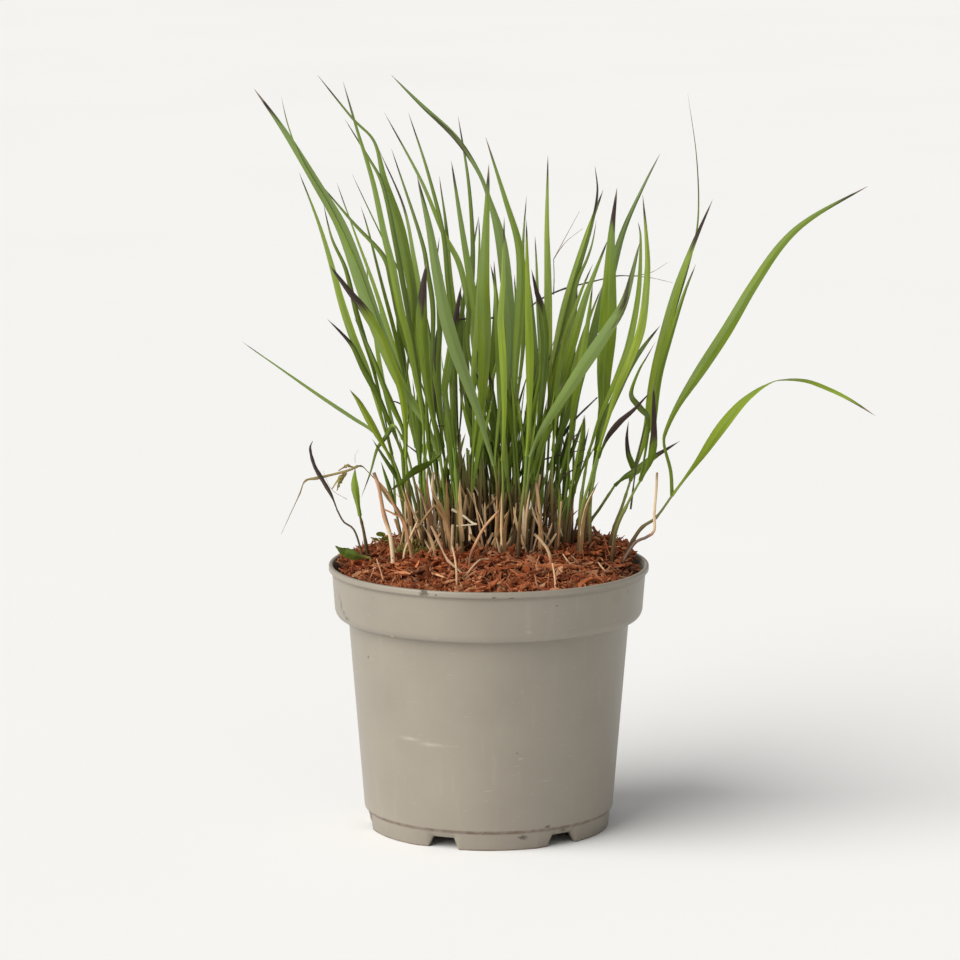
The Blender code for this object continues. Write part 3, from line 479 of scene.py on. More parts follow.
def on_disc(draw, count, radius):
    """Places spread evenly over a disc."""
    turn, out = draw.uniform(0, 2 * np.pi, count), radius * np.sqrt(draw.uniform(0, 1, count))
    return out * np.cos(turn), out * np.sin(turn)


def laid_chips(draw, count, radius, lengths, widths, depths, sunk, lean, rings=6, around=6):
    """Splinters laid over the mulch: the sunk ones and those near the hollow by the wall are painted darker
    as shade, each has its own tone, paleness and lean, and those that would reach through the pot's wall move
    in by as much."""
    length = draw.triangular(*lengths, count)
    width = np.minimum(draw.uniform(*widths, count), length * 0.5)
    depth = np.minimum(draw.uniform(*depths, count), width * 0.8)
    x, y = on_disc(draw, count, radius)
    drop = draw.uniform(*sunk, count)
    turns = draw.uniform(0, 2 * np.pi, count), draw.normal(0, lean, count), draw.normal(0, 2 * lean, count)
    local = splinters(draw, length, width, depth, rings, around)
    shade_in_hollow = np.exp(-((x - HOLLOW[0]) ** 2 + (y - HOLLOW[1]) ** 2) / (HOLLOW[3] * 0.8) ** 2)
    tone, pale = np.clip(draw.normal(0.52, 0.2, count), 0.05, 0.95), draw.uniform(0, 1, count) ** 7
    # painted shade: darker as a chip sinks among the others, and near the hollow by the wall
    shade = np.clip(0.6 * np.clip(drop / sunk[1], 0, 1) + 1.1 * shade_in_hollow, 0, 1)
    ends = np.abs(np.linspace(-1, 1, rings))[:, None] ** 6
    look = beside(*(own[:, None, None] for own in (tone, pale, shade)), ends)
    fibre = beside(local[..., 1] + local[..., 2], local[..., 0], draw.uniform(0, 99, (count, 1, 1)))
    laid = tumbled(local, *turns, beside(x, y, mulch_height(x, y) - drop))
    reach = np.hypot(laid[..., 0], laid[..., 1]).max(axis=(1, 2))
    inward = np.minimum(0, INSIDE_WALL - reach) / np.maximum(np.hypot(x, y), 1)
    laid[..., :2] += (beside(x, y) * inward[:, None])[:, None, None]
    return laid, look, fibre, 0


bark = bark_finish()
draw = np.random.default_rng(7)
bed = turned(np.array([(radius, 0) for radius in BED_RINGS]), np.linspace(0, 2 * np.pi, 72, endpoint=False))
bed[..., 2] = np.maximum(mulch_height(bed[..., 0], bed[..., 1]) - BED_DROP, COMPOST_LEVEL + LEAST_MULCH - 0.4)
bed[-3, :, 2] -= 1.5  # its edge slopes down, and its underside lies just over the compost
bed[-2:, :, 2] = COMPOST_LEVEL + 0.5
mulch = make("bark_chips", [
    # the dust bed: a dark tone with painted shade, as seen between the chips
    (bed[None], (0.2, 0, 0.7, 0), bed[None], 0),
    laid_chips(draw, CHIPS // 2, MULCH_R, (5, 10, 19), (2.2, 6.0), (1.0, 2.6), (1.2, 3.6), 0.2),
    laid_chips(draw, CHIPS // 2, MULCH_R - 2, (5, 9, 20), (1.6, 5.0), (0.8, 2.2), (-0.6, 1.4), 0.38),
    laid_chips(draw, FINES, MULCH_R + 1, (2, 5, 13), (0.5, 1.3), (0.4, 0.9), (-1.6, 1.2), 0.55, 4, 5),
], [bark], 35)
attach(mulch, "root")
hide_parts("bark_mulch")

# The clump: 45 shoots, each grown in one piece: a thin wiry stem, brown at its foot, and up to three folded,
# keeled blades that sheathe its top, smooth, faintly ribbed and a little glaucous. Some keep a papery husk.
EYE = np.array((-5.2, -2683.0, 658.0))
# A row is a shoot's foot, the places up its stem, and its blades: tint, width, roll in degrees at the foot,
# and seen places, some with a share of that width. Where it isn't the usual, a blade's row ends with the
# shares of its length where it starts to widen and is widest, and with how far it rolls.
SHOOTS = (
    ((-71, 19), "-74 176, -76.5 187", "bare",
     ("g", 5, 3, "-78 196, -79.5 206, -79 215")),
    ((-50, 32), "-50 185, -54 206, -58 221", "bare",
     ("s", 3.2, 33, "-64 231, -70 238, -80 244.5, -100 258, -124 275, -145 290"),
     ("y", 4.5, 3, "-62 228, -66 235, -72 246, -77 255, -82 261.5")),
    ((-44, 39), "-48 182, -52.5 204, -57.5 224", "bare",
     ("y", 5.5, 23, "-62 240, -71 271, -80 293, -87 315, -93 338, -100 361, -111 390"),
     ("g", 4, -52, "-61 243, -68 274, -73 291, -78 308, -84 333, -92 351, -97 372")),
    ((-45, 21), "-46 188, -48 206, -49 222", "husk",
     ("yp", 6.5, 8, "-49 238, -52 262, -58 279, -66 297, -74 310, -82 320, -94 336", (0, 0.7)),
     ("g", 4, -42, "-51 238, -56 250, -62 264, -68 280, -74 294, -79 304")),
    ((-39, 32), "-42 186, -46 202, -49.5 217", "bare",
     ("gp", 4.5, -42, "-54 231, -60 245, -67 261, -74 274, -80 287, -87 295.5, -95 303.5"),
     ("g", 3.5, 28, "-55 235, -60 255, -64 275, -67 295, -70 315, -72 340")),
    ((-38, 24), "-41 190, -46 215, -51 233", "bare",
     ("g", 3.5, 8, "-56 240, -61 233, -66 226, -70 212, -75.5 197"),
     ("d", 2.5, 33, "-49 262, -47 285, -46.5 308, -51 328, -58 342, -64 355, -80 389")),
    ((-34, 15), "-35 186, -38 206, -38 224", "husk",
     ("g", 5, 13, "-39 245, -43 268, -47 290, -52 310, -57 336, -61 352, -68 385, -77 415, -85 443"),
     ("g", 4, -47, "-39 250, -43 280, -48 310, -55 350, -62 382, -70 398, -84 421")),
    ((-22, 21), "-23.5 186, -26 204, -29 220", "bare",
     ("s", 9, 0, "-34 234, -40 246, -47 256, -54 270, -60 284, -66 299, -75 326, -86 357, -100 382, "
      "-120 415, -137 439"),
     ("g", 3.5, 33, "-36 242, -48 262, -60 286, -70 312, -80 340, -94 370, -109 396, -117 417, -121 434")),
    ((-28, 32), "-28 190, -31 210, -34 226", "husk",
     ("g", 6.5, 3, "-38 244, -41 262, -42 283, -43 305, -47 332, -53 360, -61 385 0.75, -67 408 0.45, "
      "-80 422 0.65, -100 447 0.8"),
     ("g", 4.5, -47, "-37 246, -42 266, -48 286, -53 305, -57 325, -62 341, -80 361, -100 385")),
    ((-32, 42), "-32 192, -35 212, -40 228", "bare",
     ("g", 3.5, 28, "-45 250, -52 275, -60 300, -68 325, -77 350, -89 384"),
     ("g", 3.5, -57, "-44 250, -50 272, -56 298, -63 325, -71 357, -75 370")),
    ((-24, 10), "-25 186, -27 206, -29 224", "husk",
     ("dp", 7, 3, "-32 240, -36 262, -38 282, -39.5 302, -38.5 322, -36.5 337", (0, 0.72)),
     ("g", 4, -52, "-32 245, -34 268, -33 290, -33 312, -36 332, -40 352, -57 404"),
     ("d", 5, 8, "-36 217, -44 213, -52 206, -60 200")),
    ((-17, 31), "-18 190, -22 212, -25 232", "bare",
     ("gp", 4, 28, "-29 250, -34 280, -39 310, -44 340, -50 370, -64 403"),
     ("g", 3.5, -37, "-28 252, -30 275, -29 295, -30 320, -31 333, -29 352")),
    ((-14, 3), "-17 180, -19 205, -21 228", "husk",
     ("dp", 5.5, 8, "-24 245, -26 262, -23 280, -20 298, -18 313, -16 324", (0, 0.7)),
     ("g", 4, -52, "-22 250, -22 272, -21 295, -24 325, -27 355, -36 391, -47 425")),
    ((-13, 40), "-14 190, -16.5 210, -18 230", "bare",
     ("d", 4.5, 18, "-19 250, -20 275, -20 300, -23 330, -25 358, -28 380, -29 388"),
     ("g", 4, -47, "-16 255, -17 280, -16 305, -12 330, -6 364")),
    ((-6, 31), "-6.5 182, -4.5 204, -3 221, -2.5 240", "bare",
     ("g", 5.5, 8, "-2.5 256, -3 272, -5 290, -8 310, -11 328, -15 352, -22 397"),
     ("g", 4, -47, "-6 262, -12 285, -12 305, -10 325, -9.5 350, -12 385, -18 423")),
    ((-9, 16), "-10 185, -10 205, -9 225", "bare",
     ("g", 8, -2, "-7 240, -4 258, -3 275, -2.5 295, -3 320, -2 350, 0 395"),
     ("g", 4, 23, "-9 250, -9 275, -7 300, -6 330, -5.5 350, -6 364")),
    ((1, 35), "-1 190, -1.5 212, -2 236", "bare",
     ("g", 4.5, 23, "-4 256, -8 280, -11 306, -17 335, -27 355, -40 386, -61 425"),
     ("d", 4.5, -42, "1 262, 3 290, 4 315, 3 338")),
    ((4, 8), "5 185, 5 203, 3 217", "husk",
     ("s", 8, 0, "-1 230, -6 247, -12 264, -18 280, -23 296, -27 312, -31 334, -35 358, -42 388"),
     ("g", 5, -37, "5 235, 7 255, 6 280, 5 300, 4 320, 1 336")),
    ((11, 24), "12 188, 12 208, 10 228", "bare",
     ("sl", 6.5, 3, "11 248, 12 268, 13 292, 11 318 1.15, 7 350 1.2, 0 375 0.6, -7 392 0.62, -20 411 1.1, "
      "-40 430 1.35, -57 447 1.2", (0, 0.35))),
    ((9, -1), "8 178, 8.5 200, 8 220", "husk",
     ("y", 5, 18, "9 240, 9 262, 8 285, 7 305, 8.5 330, 9 364")),
    ((16, 15), "15.5 186, 15.5 208, 14.5 232", "bare",
     ("g", 6, 8, "15 255, 16 280, 18 305, 19 330, 17 350, 10 373, -2 411"),
     ("g", 3.5, -47, "17 258, 20 285, 21 315, 20 345, 22 376")),
    ((17.5, -6), "18 178, 20.5 200, 22.3 223", "bare",
     ("y", 5, 3, "23.5 240, 24 260, 24 285, 23.2 310, 22.5 335, 22 362")),
    ((21, 5), "21.5 185, 23 205, 24.5 222", "husk",
     ("sl", 7.5, -2, "29 233, 36 245, 45 259, 58 279, 70 297, 80 315, 88.5 349")),
    ((26, 19), "26 188, 27 208, 28 230", "bare",
     ("dp", 5.5, 3, "30 248, 32 268, 33 290, 31 310, 28 320, 25 333", (0, 0.65)),
     ("g", 4, 18, "30 255, 31 280, 29 310, 28 335, 27 353")),
    ((33, 29), "33 190, 34.5 212, 35.5 234", "husk",
     ("y", 5, 8, "36 256, 35.5 280, 35 305, 34.5 335, 34 360, 34.5 400")),
    ((28, 37), "29.5 190, 32 214, 34 240", "bare",
     ("y", 6.5, 8, "37 262, 40 285, 45 309, 51 332, 58 355, 67 380"),
     ("gp", 3.5, -52, "36 265, 43 295, 52 330, 60 358, 63.5 378, 62 394")),
    ((38, 15), "37.5 188, 37.5 208, 38 226", "bare",
     ("dp", 4, 8, "39 244, 40 262, 41.5 278, 42.5 292"),
     ("g", 4, -47, "40 248, 41 270, 45 293, 50 308, 55 322, 61 336")),
    ((43, 31), "42 190, 41 212, 40 236", "bare",
     ("g", 6, 8, "41 256, 45 275, 51 296, 57 317, 63 333, 70 351"),
     ("g", 3, -47, "42 262, 46 290, 51 322, 58 340, 61 350, 63 362")),
    ((46, 19), "45 190, 46.5 210, 47.5 230", "bare",
     ("g", 5, 8, "50 252, 54 276, 58 300, 61 324")),
    ((50, 35), "49 190, 50 212, 50 238", "husk",
     ("sl", 6.5, -32, "53 260, 58 282, 64 304, 71 328, 79 356 0.75, 90 381 0.62, 100 401 0.7")),
    ((54, 15), "54 188, 56 206, 59 224", "bare",
     ("g", 4.5, 18, "64 241, 70 256, 77 273, 83 291, 88 320, 89 350, 87.5 361")),
    ((57, 24), "58 188, 60 202, 62.5 216", "bare",
     ("gt", 9, 0, "65 232, 67.5 252, 68 272 1.1, 70 300 1.25, 71 330 1.15, 72 355, 75 381")),
    ((53, 3), "55 188, 60 207, 65 226", "husk",
     ("y", 5.5, 8, "70 243, 75 260, 83 279, 90 300, 93 330, 92.5 350, 90 377")),
    ((61, 16), "60 190, 62 208, 65 222", "bare",
     ("dq", 4, 13, "70 233, 77 242, 86 250, 96 261"),
     ("s", 5, -37, "68 240, 74 256, 82 273, 91 287, 101 300")),
    ((56, 32), "58 178, 66 191, 75 205", "bare",
     ("dp", 5, 8, "80 209, 87 213, 97 221, 105 226, 113 231")),
    ((70, 23), "74 178, 79 192, 84 208", "bare",
     ("yt", 7.5, 8, "89 223, 94 241, 97 262, 102 288, 110 320, 120 348, 131 374", (0, 0.42)),
     ("gl", 1.8, 18, "91 232, 98 262, 107 300, 117 335, 122.5 362, 121.5 398, 116 436", (0, 0.4)),
     ("dh", 4, 8, "85.5 214, 82.5 223, 81.5 233, 82.5 243")),
    ((73, 8), "75 176, 82 193, 90 208", "bare",
     ("dh", 5, 8, "95 218, 97.3 230, 97.5 245, 97 265"),
     ("g", 4.5, -32, "96 226, 97.5 245, 100 268, 106.5 292, 114.5 318, 121.5 336"),
     ("d", 4, 13, "93 228, 94 244, 89 251, 84 259, 88 272, 93 281, 98 290")),
    ((77, 15), "89 177, 99 185, 109 199", "bare",
     ("y", 7, -35, "117 210, 125 221, 138 240, 152 256, 168 266, 185 267, 200 262, 214 255, 228 246",
      (0.05, 0.28), 225),
     ("g", 8, 3, "107.5 213, 103.5 229 0.8, 105 238 0.6, 112 253 0.6, 124 272 0.85, 140 297, 155 323, "
      "172 348, 190 364, 222 382", (0.17, 0.44))),
    ((-37, 48), "-37 192, -40 210, -43 228", "bare",
     ("g", 6, 18, "-48 250, -55 275, -61 298, -66 318"),
     ("d", 5, -42, "-46 250, -50 275, -53 300, -54 322")),
    ((-22, 47), "-23 192, -25 210, -27 228", "bare",
     ("d", 6, -37, "-30 250, -34 275, -37 300, -42 325"),
     ("g", 5, 23, "-29 252, -30 278, -28 305, -27 330")),
    ((-7, 47), "-8 192, -9 210, -10 228", "bare",
     ("d", 6, 13, "-12 250, -14 275, -15 300, -17 322"),
     ("d", 5, -47, "-10 252, -8 278, -8 305, -7 328")),
    ((9, 45), "8 192, 8 210, 9 228", "bare",
     ("g", 6, -37, "10 250, 11 275, 10 300, 9 325"),
     ("d", 5, 23, "11 252, 14 278, 16 305, 15 330")),
    ((24, 48), "23 192, 23 210, 24 228", "bare",
     ("d", 6, 13, "26 250, 27 275, 26 300, 24 326"),
     ("g", 5, -47, "27 252, 31 278, 34 300, 36 322")),
    ((40, 43), "39 192, 40 210, 42 228", "husk",
     ("g", 6, -37, "44 250, 48 275, 50 300, 52 322"),
     ("y", 5, 23, "46 252, 51 275, 57 298, 66 322")),
    ((60, 40), "59 190, 61 208, 63 226", "bare",
     ("g", 6, 13, "66 246, 69 268, 71 292, 73 316")),
)
TINTS = {"g": (0.5, 0.2), "y": (0.78, 0.08), "s": (0.5, 0.6), "d": (0.15, 0.05)}  # hue, silveriness
TIP_TINTS = {  # where purple starts, over what share of the blade it deepens, and its most
    "": (0.86, 0.13, 0.8), "p": (0.64, 0.22, 1), "l": (0.5, 0.5, 0.5), "q": (-0.1, 0.5, 1),
    "h": (0.35, 0.45, 1), "t": (0.78, 0.14, 1),
}
SWELL = (0, 0.5)
TWIST = 24
STEM_FOOT_R = 1.4
STEM_TOP_R = 1.0
STEM_START = 150.4
BEND_WEIGHT = 40
RING_EVERY = 6.0
BLADE_BASE = 0.26
BLADE_SWELL = 1.5
BLADE_TAPER = 0.65
KEEL = 0.24
WRAP_R = 1.2
DEPTH_BEND = 1.3
FACE_POINTS = 9


def places_in(text):
    """The numbers of places written as "x z, x z", some with a third."""
    return [tuple(float(number) for number in place.split()) for place in text.split(",")]


def behind(seen, depth):
    """Points at the given depths that are seen at the places: depth runs back along each line of sight."""
    on_plane = np.insert(np.atleast_2d(seen).astype(float), 1, 0, axis=1)
    return EYE + (on_plane - EYE) * (1 + np.reshape(depth, (-1, 1)) / -EYE[1])


def seen_at(points):
    """Where points are seen, on the upright plane through the pot's axis."""
    return (EYE + (points - EYE) * (-EYE[1] / (points[:, 1:2] - EYE[1])))[:, (0, 2)]


def smooth_path(points, every=RING_EVERY, bend_weight=BEND_WEIGHT):
    """Places along a Catmull-Rom curve through the points, closer together where it turns."""
    points = np.array(points, float)
    points = np.vstack((2 * points[0] - points[1], points, 2 * points[-1] - points[-2]))
    before, start, end, after = points[:-3], points[1:-2], points[2:-1], points[3:]
    share = np.linspace(0, 1, 12, endpoint=False)[:, None, None]
    squared = (2 * before - 5 * start + 4 * end - after) * share ** 2
    cubed = (3 * start - before - 3 * end + after) * share ** 3
    spans = start + 0.5 * ((end - before) * share + squared + cubed)
    fine = np.vstack((spans.transpose(1, 0, 2).reshape(-1, points.shape[1]), points[-2]))
    moves = np.diff(fine, axis=0)
    heading = np.unwrap(np.arctan2(moves[:, 1], moves[:, 0]))
    bend = np.abs(np.diff(heading, prepend=heading[0]))
    run = np.concatenate(([0], np.cumsum(np.linalg.norm(moves, axis=1) + bend_weight * bend)))
    even = np.linspace(0, run[-1], max(5, round(run[-1] / every)) + 1)
    return np.stack([np.interp(even, run, column) for column in fine.T], axis=1)


def directions(path):
    """Unit tangents, unit vectors across them square to the line of sight, and the ones square to both."""
    along = np.gradient(path, axis=0)
    along /= np.linalg.norm(along, axis=1, keepdims=True)
    across = np.cross(along, path - EYE)
    across /= np.linalg.norm(across, axis=1, keepdims=True)
    return along, across, np.cross(across, along)


def sides(path, turn):
    """Unit vectors across a path and back from it, both rolled about it by an angle in radians."""
    _, across, facing = directions(path)
    turn = np.reshape(turn, (-1, 1))
    return across * np.cos(turn) + facing * np.sin(turn), facing * np.cos(turn) - across * np.sin(turn)


def shares(path):
    """How far along each of the path's places is, from 0 to 1 by their number."""
    return np.linspace(0, 1, len(path))


def batch(points, across, path, look, seed, kind):
    """One tube for make(): its fibre coordinates are a place across, the length along, and a seed."""
    along = np.concatenate(([0], np.cumsum(np.linalg.norm(np.diff(path, axis=0), axis=1))))
    return points[None], np.reshape(look, (-1, 1, 4)), beside(across, along[:, None], seed), kind


def rod(path, radii, look, seed, kind, around=10, flat=1.0):
    """A closed tube: at each point of the path, a ring of its radius, square to it, flattened by a share."""
    _, across, away = directions(path)
    turn = np.arange(around) * 2 * np.pi / around
    ring = across[:, None] * np.cos(turn)[:, None] + away[:, None] * (flat * np.sin(turn))[:, None]
    return batch(path[:, None] + ring * np.reshape(radii, (-1, 1, 1)), np.cos(turn), path, look, seed, kind)


def blade_width(share, neck, widest):
    """Share of the full width along a blade: a narrow base, a long swell and a drawn-out point."""
    rise = np.clip((share - neck) / (widest - neck), 0, 1)
    fall = np.clip((1 - share) / (1 - widest), 0, 1)
    return (BLADE_BASE + (1 - BLADE_BASE) * np.sin(rise * np.pi / 2) ** BLADE_SWELL) * fall ** BLADE_TAPER


def strip(path, side, back, half, keel, look, seed, kind, thick=0.26):
    """A folded strip: places across it run -1 to 1, and its outer face is path + side half place - back keel
    (1 - |place| ** 1.25), with a fine rib at 0. Its inner face lies a thickness behind, less at the edges."""
    place = np.concatenate((np.linspace(-1, 1, FACE_POINTS), np.linspace(1, -1, FACE_POINTS)[1:-1]))
    inner = np.arange(len(place)) >= FACE_POINTS
    fold = 1 - np.abs(place) ** 1.25 + 0.12 * np.exp(-(place / 0.14) ** 2) * ~inner
    thickness = thick * (0.35 + 0.65 * (1 - place ** 2)) * inner
    half, keel = np.reshape(half, (-1, 1)), np.reshape(keel, (-1, 1))
    in_by = keel * fold - np.minimum(thickness, half * 0.5)
    points = path[:, None] + side[:, None] * (half * place)[..., None] - back[:, None] * in_by[..., None]
    return batch(points, place, path, look, seed, kind)


def blade(draw, top, tip_depth, tint, width, roll, places, swell=SWELL, twist=TWIST):
    """A blade from the stem's top through its places: its width swells, and it rolls evenly to its point."""
    flat = smooth_path([(*seen_at(top[None])[0], 1)] + [(*place, 1)[:3] for place in places])
    share = shares(flat)
    path = behind(flat[:, :2], top[1] + (tip_depth - top[1]) * share ** DEPTH_BEND)
    sway = 5 * np.sin(share * draw.uniform(6, 11) + draw.uniform(0, 6)) * share
    wrap = WRAP_R * np.clip(1 - share / 0.08, 0, 1)
    half = np.maximum(np.maximum(width / 2 * blade_width(share, *swell) * flat[:, 2], 0.05), wrap)
    keel = np.maximum(np.maximum(KEEL * half, np.minimum(0.5, half)), wrap)
    hue, silver_and_sheen = TINTS[tint[0]]
    start, run, most = TIP_TINTS[tint[1:]]
    # The hue rises along the blade: its foot is darker, partly in its own colour and partly as painted shade.
    look = beside(hue + draw.normal(0, 0.05) + 0.12 * (share - 0.4),
                  # silveriness rises with height: a painted sheen on the upper leaves, over the blade's own
                  # bloom
                  silver_and_sheen + draw.normal(0, 0.06) + 0.4 * np.clip((path[:, 2] - 250) / 150, 0, 1),
                  np.clip((share - start) / run, 0, most), (share - draw.uniform(0.95, 0.985)) / 0.02)
    turn = np.radians(roll + twist * share + sway)
    return strip(path, *sides(path, turn), half, keel, np.clip(look, 0, 1), draw.uniform(0, 99), 0)


def node_corners(node):
    """A solid's corners, in millimetres about the pot's axis."""
    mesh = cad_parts[node].data
    corners = np.empty(len(mesh.vertices) * 3)
    mesh.vertices.foreach_get("co", corners)
    return corners.reshape(-1, 3) / MM - POT_AXIS


def stem_line(node, foot, foot_r, places):
    """The stem's points: its solid's corners seen about the last place say how deep its top is."""
    corners = node_corners(node)
    away = np.linalg.norm(seen_at(corners) - places[-1], axis=1)
    near = corners[away < max(1.6, away.min() + 0.3)][:, 1]
    depth = (near.min() + near.max()) / 2
    share = np.arange(1, len(places) + 1) / len(places)
    rest = behind(places, foot[1] + (depth - foot[1]) * share)
    start = np.array((*foot, STEM_START))
    rise = rest[0] - start
    start[2] += foot_r * np.hypot(rise[0], rise[1]) / np.linalg.norm(rise)
    return smooth_path(np.vstack((start, rest)), 2.5, 0)


def tip_depth_of(node, place):
    """How deep the solid's corner lies that is seen nearest to a blade's point."""
    corners = node_corners(node)
    return corners[np.linalg.norm(seen_at(corners) - place, axis=1).argmin()][1]


def blade_start(line):
    """Where a blade leaves a stem: a millimetre below its top."""
    return line[-1] - directions(line)[0][-1]


def stem(draw, path, foot_r, top_r):
    """A stem with a few joints: each swells a little, and the sheath above it is a touch thicker. At the
    clump's right side it stays green further down."""
    share = shares(path)
    radii = foot_r + (top_r - foot_r) * share
    for joint in draw.uniform(0.15, 0.9, 3):
        past = share - joint
        radii = radii + 0.22 * np.exp(-(past / 0.025) ** 2) - 0.12 / (1 + np.exp(-past * 90))
    look = (np.clip(0.5 + draw.normal(0, 0.15), 0, 1), 0, 0,
            draw.uniform(0, 1) * np.interp(path[0, 0], (20, 60), (1, 0.3)))
    return rod(path, np.maximum(radii, 0.7), look, draw.uniform(0, 99), 1)


def husk(draw, path, kind=2):
    """A loose sheath: it wraps the stem's foot, opens, and ends in a torn point standing off the stem."""
    first, last = int(len(path) * draw.uniform(0.1, 0.3)), int(len(path) * draw.uniform(0.6, 0.95))
    line = path[first:last]
    share = shares(line)
    _, across, away = directions(line)
    lean = draw.uniform(-1, 1)
    opened = line + (across * lean - away * 0.5) * (0.8 + 3.6 * share ** 2.5)[:, None]
    turn = draw.uniform(-0.9, 0.9)
    torn = 1 + 0.1 * np.sin(share * 31 + lean)
    half = draw.uniform(0.9, 1.6) * np.sin(np.pi * np.clip(0.35 + 0.65 * share, 0, 1)) ** 0.8 * torn + 0.05
    look = beside(draw.uniform(0, 1), share, 0, 0)
    return strip(opened, *sides(line, turn), half, half * 0.8, look, draw.uniform(0, 99), kind, 0.16)


def leaf_finish():
    """Leaf: look holds hue, silveriness with a painted sheen on the upper leaves, purple and dryness. Fine
    ribs and a pale rib run along the blade.
    """
    skin = Finish("grass_leaf")
    hue, silver_and_sheen, purple, dry = looks_of(skin)
    fibre = skin.add("Attribute", {}, attribute_name="fibre").outputs["Vector"]
    off_middle = skin.math("ABSOLUTE", skin.axis(fibre, 0))
    ribs, broad = fibre_streaks(skin, 9.0, 0.02), fibre_streaks(skin, 1.2, 0.03)
    share = skin.swayed(skin.swayed(hue, broad, 0.9), ribs, 0.5)
    dusty = skin.math("SUBTRACT", fibre_streaks(skin, 0.9, 0.018), 0.45)
    tone = skin.coated(
        skin.ramp(share, (0.0, 69, 88, 8), (0.5, 108, 128, 22), (0.85, 127, 146, 33), (1.0, 150, 164, 60)),
        # silvery bloom, with the painted sheen of the upper leaves
        ((113, 132, 84), skin.band(skin.plus(silver_and_sheen, dusty, 1.6), 0, 1, 0, 0.75)),
        ((156, 176, 88), skin.band(off_middle, 0.1, 0.02, 0, 0.12)),
        ((150, 160, 92), skin.band(off_middle, 0.9, 1.0, 0, 0.2)),
        ((52, 32, 38), skin.band(skin.swayed(purple, broad, 1.8), 0.3, 0.75, 0, 0.94)),
        ((110, 96, 52), skin.band(skin.noise(700.0, 2.0), 0.72, 0.78, 0, 0.4)),
        ((128, 114, 96), skin.band(dry, 0.1, 0.7)),
    )
    return skin.done(tone, skin.plus(0.38, ribs, 0.14), [(ribs, 0.35, 0.0002)], {
        "Specular IOR Level": 0.2, "Sheen Weight": 0.03, "Sheen Roughness": 0.5,
        "Sheen Tint": colour(205, 216, 214),
    })


def stem_finish():
    """Stem: brown and fibrous at the mulch, olive above, then leaf green."""
    skin = Finish("grass_stem")
    lift = looks_of(skin)[3]
    fibres = fibre_streaks(skin, 3.0, 0.12)
    raised = skin.plus(skin.swayed(skin.axis(skin.where, 2), fibres, 0.02), lift, -0.03)
    tone = skin.coated(
        skin.ramp(skin.band(raised, 0.14, 0.215), (0.0, 60, 40, 18), (0.25, 100, 76, 38),
                  (0.45, 112, 104, 50), (0.7, 116, 128, 50), (1.0, 108, 134, 42)),
        ((190, 160, 112), skin.band(fibres, 0.62, 0.78, 0, 0.6)),
        ((44, 32, 16), skin.band(fibres, 0.38, 0.25, 0, 0.5)),
    )
    return skin.done(tone, skin.plus(0.45, fibres, 0.2), [(fibres, 0.5, 0.0003)])


def husk_finish():
    """Dry sheath: cream to pinkish brown paper with fine brown veins, dull."""
    skin = Finish("papery_husk")
    warm, up = looks_of(skin)[:2]
    veins = fibre_streaks(skin, 6.0, 0.06)
    tone = skin.coated(
        skin.ramp(skin.swayed(warm, veins, 0.7), (0.0, 136, 100, 58), (0.35, 192, 152, 100),
                  (0.7, 222, 190, 146), (1.0, 238, 218, 180)),
        ((112, 78, 46), skin.band(veins, 0.4, 0.28, 0, 0.6)), ((96, 66, 36), skin.band(up, 0.3, 0.0, 0, 0.7)),
    )
    return skin.done(tone, 0.62, [(veins, 0.6, 0.0003)])


leaf, stem_skin, husk_paper = leaf_finish(), stem_finish(), husk_finish()
for number, (foot, stem_places, clothing, *blades) in enumerate(SHOOTS, 1):
    name = f"shoot_{number:02d}"
    draw = np.random.default_rng(number)
    line = stem_line(name, foot, STEM_FOOT_R, places_in(stem_places))
    batches = [stem(draw, line, STEM_FOOT_R, STEM_TOP_R)]
    for tint, width, roll, seen, *form in blades:
        places = places_in(seen)
        tip_depth = tip_depth_of(name, places[-1][:2])
        batches.append(blade(draw, blade_start(line), tip_depth, tint, width, roll, places, *form))
    if clothing == "husk":
        batches += [husk(draw, line), husk(draw, line)]
    shoot = make(f"grass_{number:02d}", batches, [leaf, stem_skin, husk_paper])
    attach(shoot, "root")
    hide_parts(name)

# Young growth fills the clump's foot: short side shoots between the tall ones, each a thin stem and one or
# two narrow blades, deeper green partly in their own colour and partly as painted shade among the tall ones.
# They stand in the mulch and lean out as their neighbours do.
YOUNG_SHOOTS = 58
HEART_SHOOTS = 26
CLUMP_MIDDLE = np.array((-3.0, 22.0))
CLUMP_HALF = np.array((53.0, 25.0))
HEART_MIDDLE = np.array((14.0, 24.0))
HEART_HALF = np.array((17.0, 18.0))
# mostly the deep tint: partly their own colour, partly painted shade among the tall shoots
YOUNG_TINTS = ("d", "d", "g", "g", "d", "dp")
YOUNG_FOOT_R = 1.05
YOUNG_TOP_R = 0.75
YOUNG_TWIST = 30


def in_clump(draw, count, middle=CLUMP_MIDDLE, half=CLUMP_HALF):
    """Feet spread over the clump's oval, or over its heart."""
    return middle + half * beside(*on_disc(draw, count, 1))


